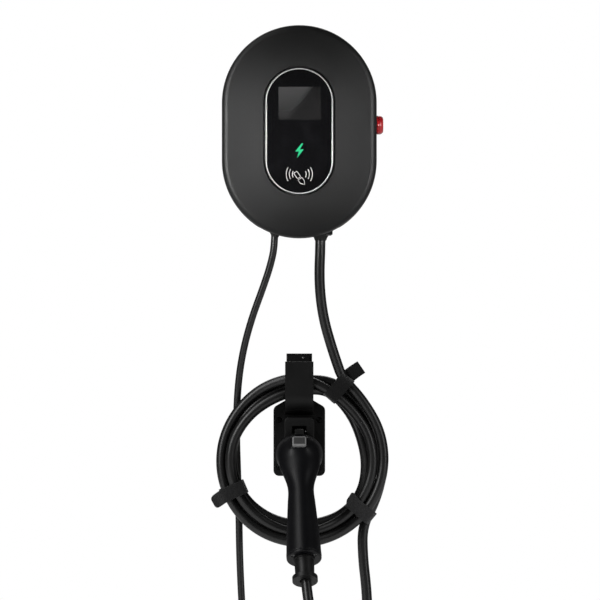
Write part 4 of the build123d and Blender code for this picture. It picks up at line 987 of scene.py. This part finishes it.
# Smooth the crease under the head, more and more towards it; the channel, the socket's side and the
# grip's end keep their shape
crease_middle = at(0, 84, -512)
socket_side = -0.056
channel_half = 0.0132
channel_bottom = -0.4885
grip_end = -0.63
outside_verts = []
for vert in shell.verts:
    in_channel = abs(vert.co.x) < channel_half and vert.co.z > channel_bottom
    if vert.co.y < socket_side and vert.co.z >= grip_end and not in_channel:
        outside_verts.append(vert)
rounds_per_reach = 36
for reach in (0.075, 0.07, 0.066, 0.062, 0.058, 0.054, 0.051, 0.048, 0.045, 0.042, 0.039):
    near = [vert for vert in outside_verts if (vert.co - crease_middle).length < reach]
    for _ in range(rounds_per_reach):
        bmesh.ops.smooth_vert(shell, verts=near, **every_axis)
shell_piece = finish_piece(
    "connector_grip", shell, finishes["connector_plastic"], sharp=50,
)
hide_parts("connector_shell")

# ---- Rubber lips below the gland nuts, tapering on to the cables

for lip_name, side, nut_bottom, cable_radius, reach in (
    ("supply_lip", -37.5, -155, 5, 3.4), ("charge_lip", 33, -160.5, 8, 4.2),
):
    lip = turned((
        (cable_radius, 1), (cable_radius + reach, 1), (cable_radius + reach, -0.6),
        (cable_radius + 0.55 * reach, -3.4), (cable_radius + 0.25 * reach, -7),
        (cable_radius + 0.1, -8), (cable_radius, -8),
    ), 32)
    bmesh.ops.translate(lip, vec=at(side, 40, nut_bottom), verts=lip.verts)
    finish_piece(lip_name, lip, finishes["seal_rubber"])

# ---- Small fittings on the holster and the connector

neck_screw = turned((
    (0, 0.6), (0.8, 0.6), (0.9, 1.2), (1.4, 1.1), (1.7, 0.6), (1.8, 0), (0, 0),
), 24)
set_on(neck_screw, at(5.7, 12.7, -350.3), (0, -1, 0))
finish_piece("neck_screw", neck_screw, finishes["steel_screw"])

for number, (side, height) in enumerate(
    ((-31.2, -447.5), (31.2, -447.5), (-31.2, -521.0), (31.2, -521.0)), start=1
):
    plate_screw = turned((
        (0, 1.2), (1.5, 1.2), (1.7, 2.6), (3.0, 2.5), (4.2, 1.7), (4.6, 0.4), (4.6, 0), (2.4, 0),
        (2.4, -7), (0, -7),
    ), 28)
    set_on(plate_screw, at(side, 7.6, height), (0, -1, 0))
    finish_piece(f"plate_screw_{number}", plate_screw, recess_shaded_screw)

catch_outline = ((-6.4, -462.0), (6.4, -462.0), (6.4, -460.9), (-6.4, -460.9))
catch_edge = plate_from(catch_outline, 36.4, 40.5, 0.3)
finish_piece("latch_catch_edge", catch_edge, worn_steel, body="latch")
stop_pin = turned(((0, -1.5), (0.9, -1.5), (0.9, 1.2), (0.5, 1.6), (0, 1.6)), 16)
set_on(stop_pin, at(9.6, 49.9, -464.5), (0, -1, 0))
finish_piece("latch_stop_pin", stop_pin, worn_steel)

button_pad = bmesh.new()
bmesh.ops.create_grid(button_pad, x_segments=10, y_segments=8, size=0.5)
bmesh.ops.scale(button_pad, vec=(0.0168, 0.0128, 1), verts=button_pad.verts)
pad_top = bmesh.ops.extrude_face_region(button_pad, geom=list(button_pad.faces))
bmesh.ops.translate(button_pad, vec=(0, 0, 0.0006), verts=new_verts(pad_top))
set_on(button_pad, button_home + button_out * 0.0017, button_out)
finish_piece("button_pad", button_pad, dark_pad, body="button")

# ---- Floor below the lowest loop of cable

floor_shape = bmesh.new()
floor_half_side = 2.15
floor_gap = 0.004
bmesh.ops.create_grid(floor_shape, x_segments=2, y_segments=2, size=floor_half_side)
floor_mesh = bpy.data.meshes.new("studio_floor")
bmesh.ops.translate(floor_shape, vec=(0, 0, cad_low.z - floor_gap), verts=floor_shape.verts)
floor_shape.to_mesh(floor_mesh)
floor_shape.free()
floor_mesh.materials.append(floor_paint("studio_floor_paint"))
studio_floor = bpy.data.objects.new("studio_floor", floor_mesh)
bpy.context.scene.collection.objects.link(studio_floor)
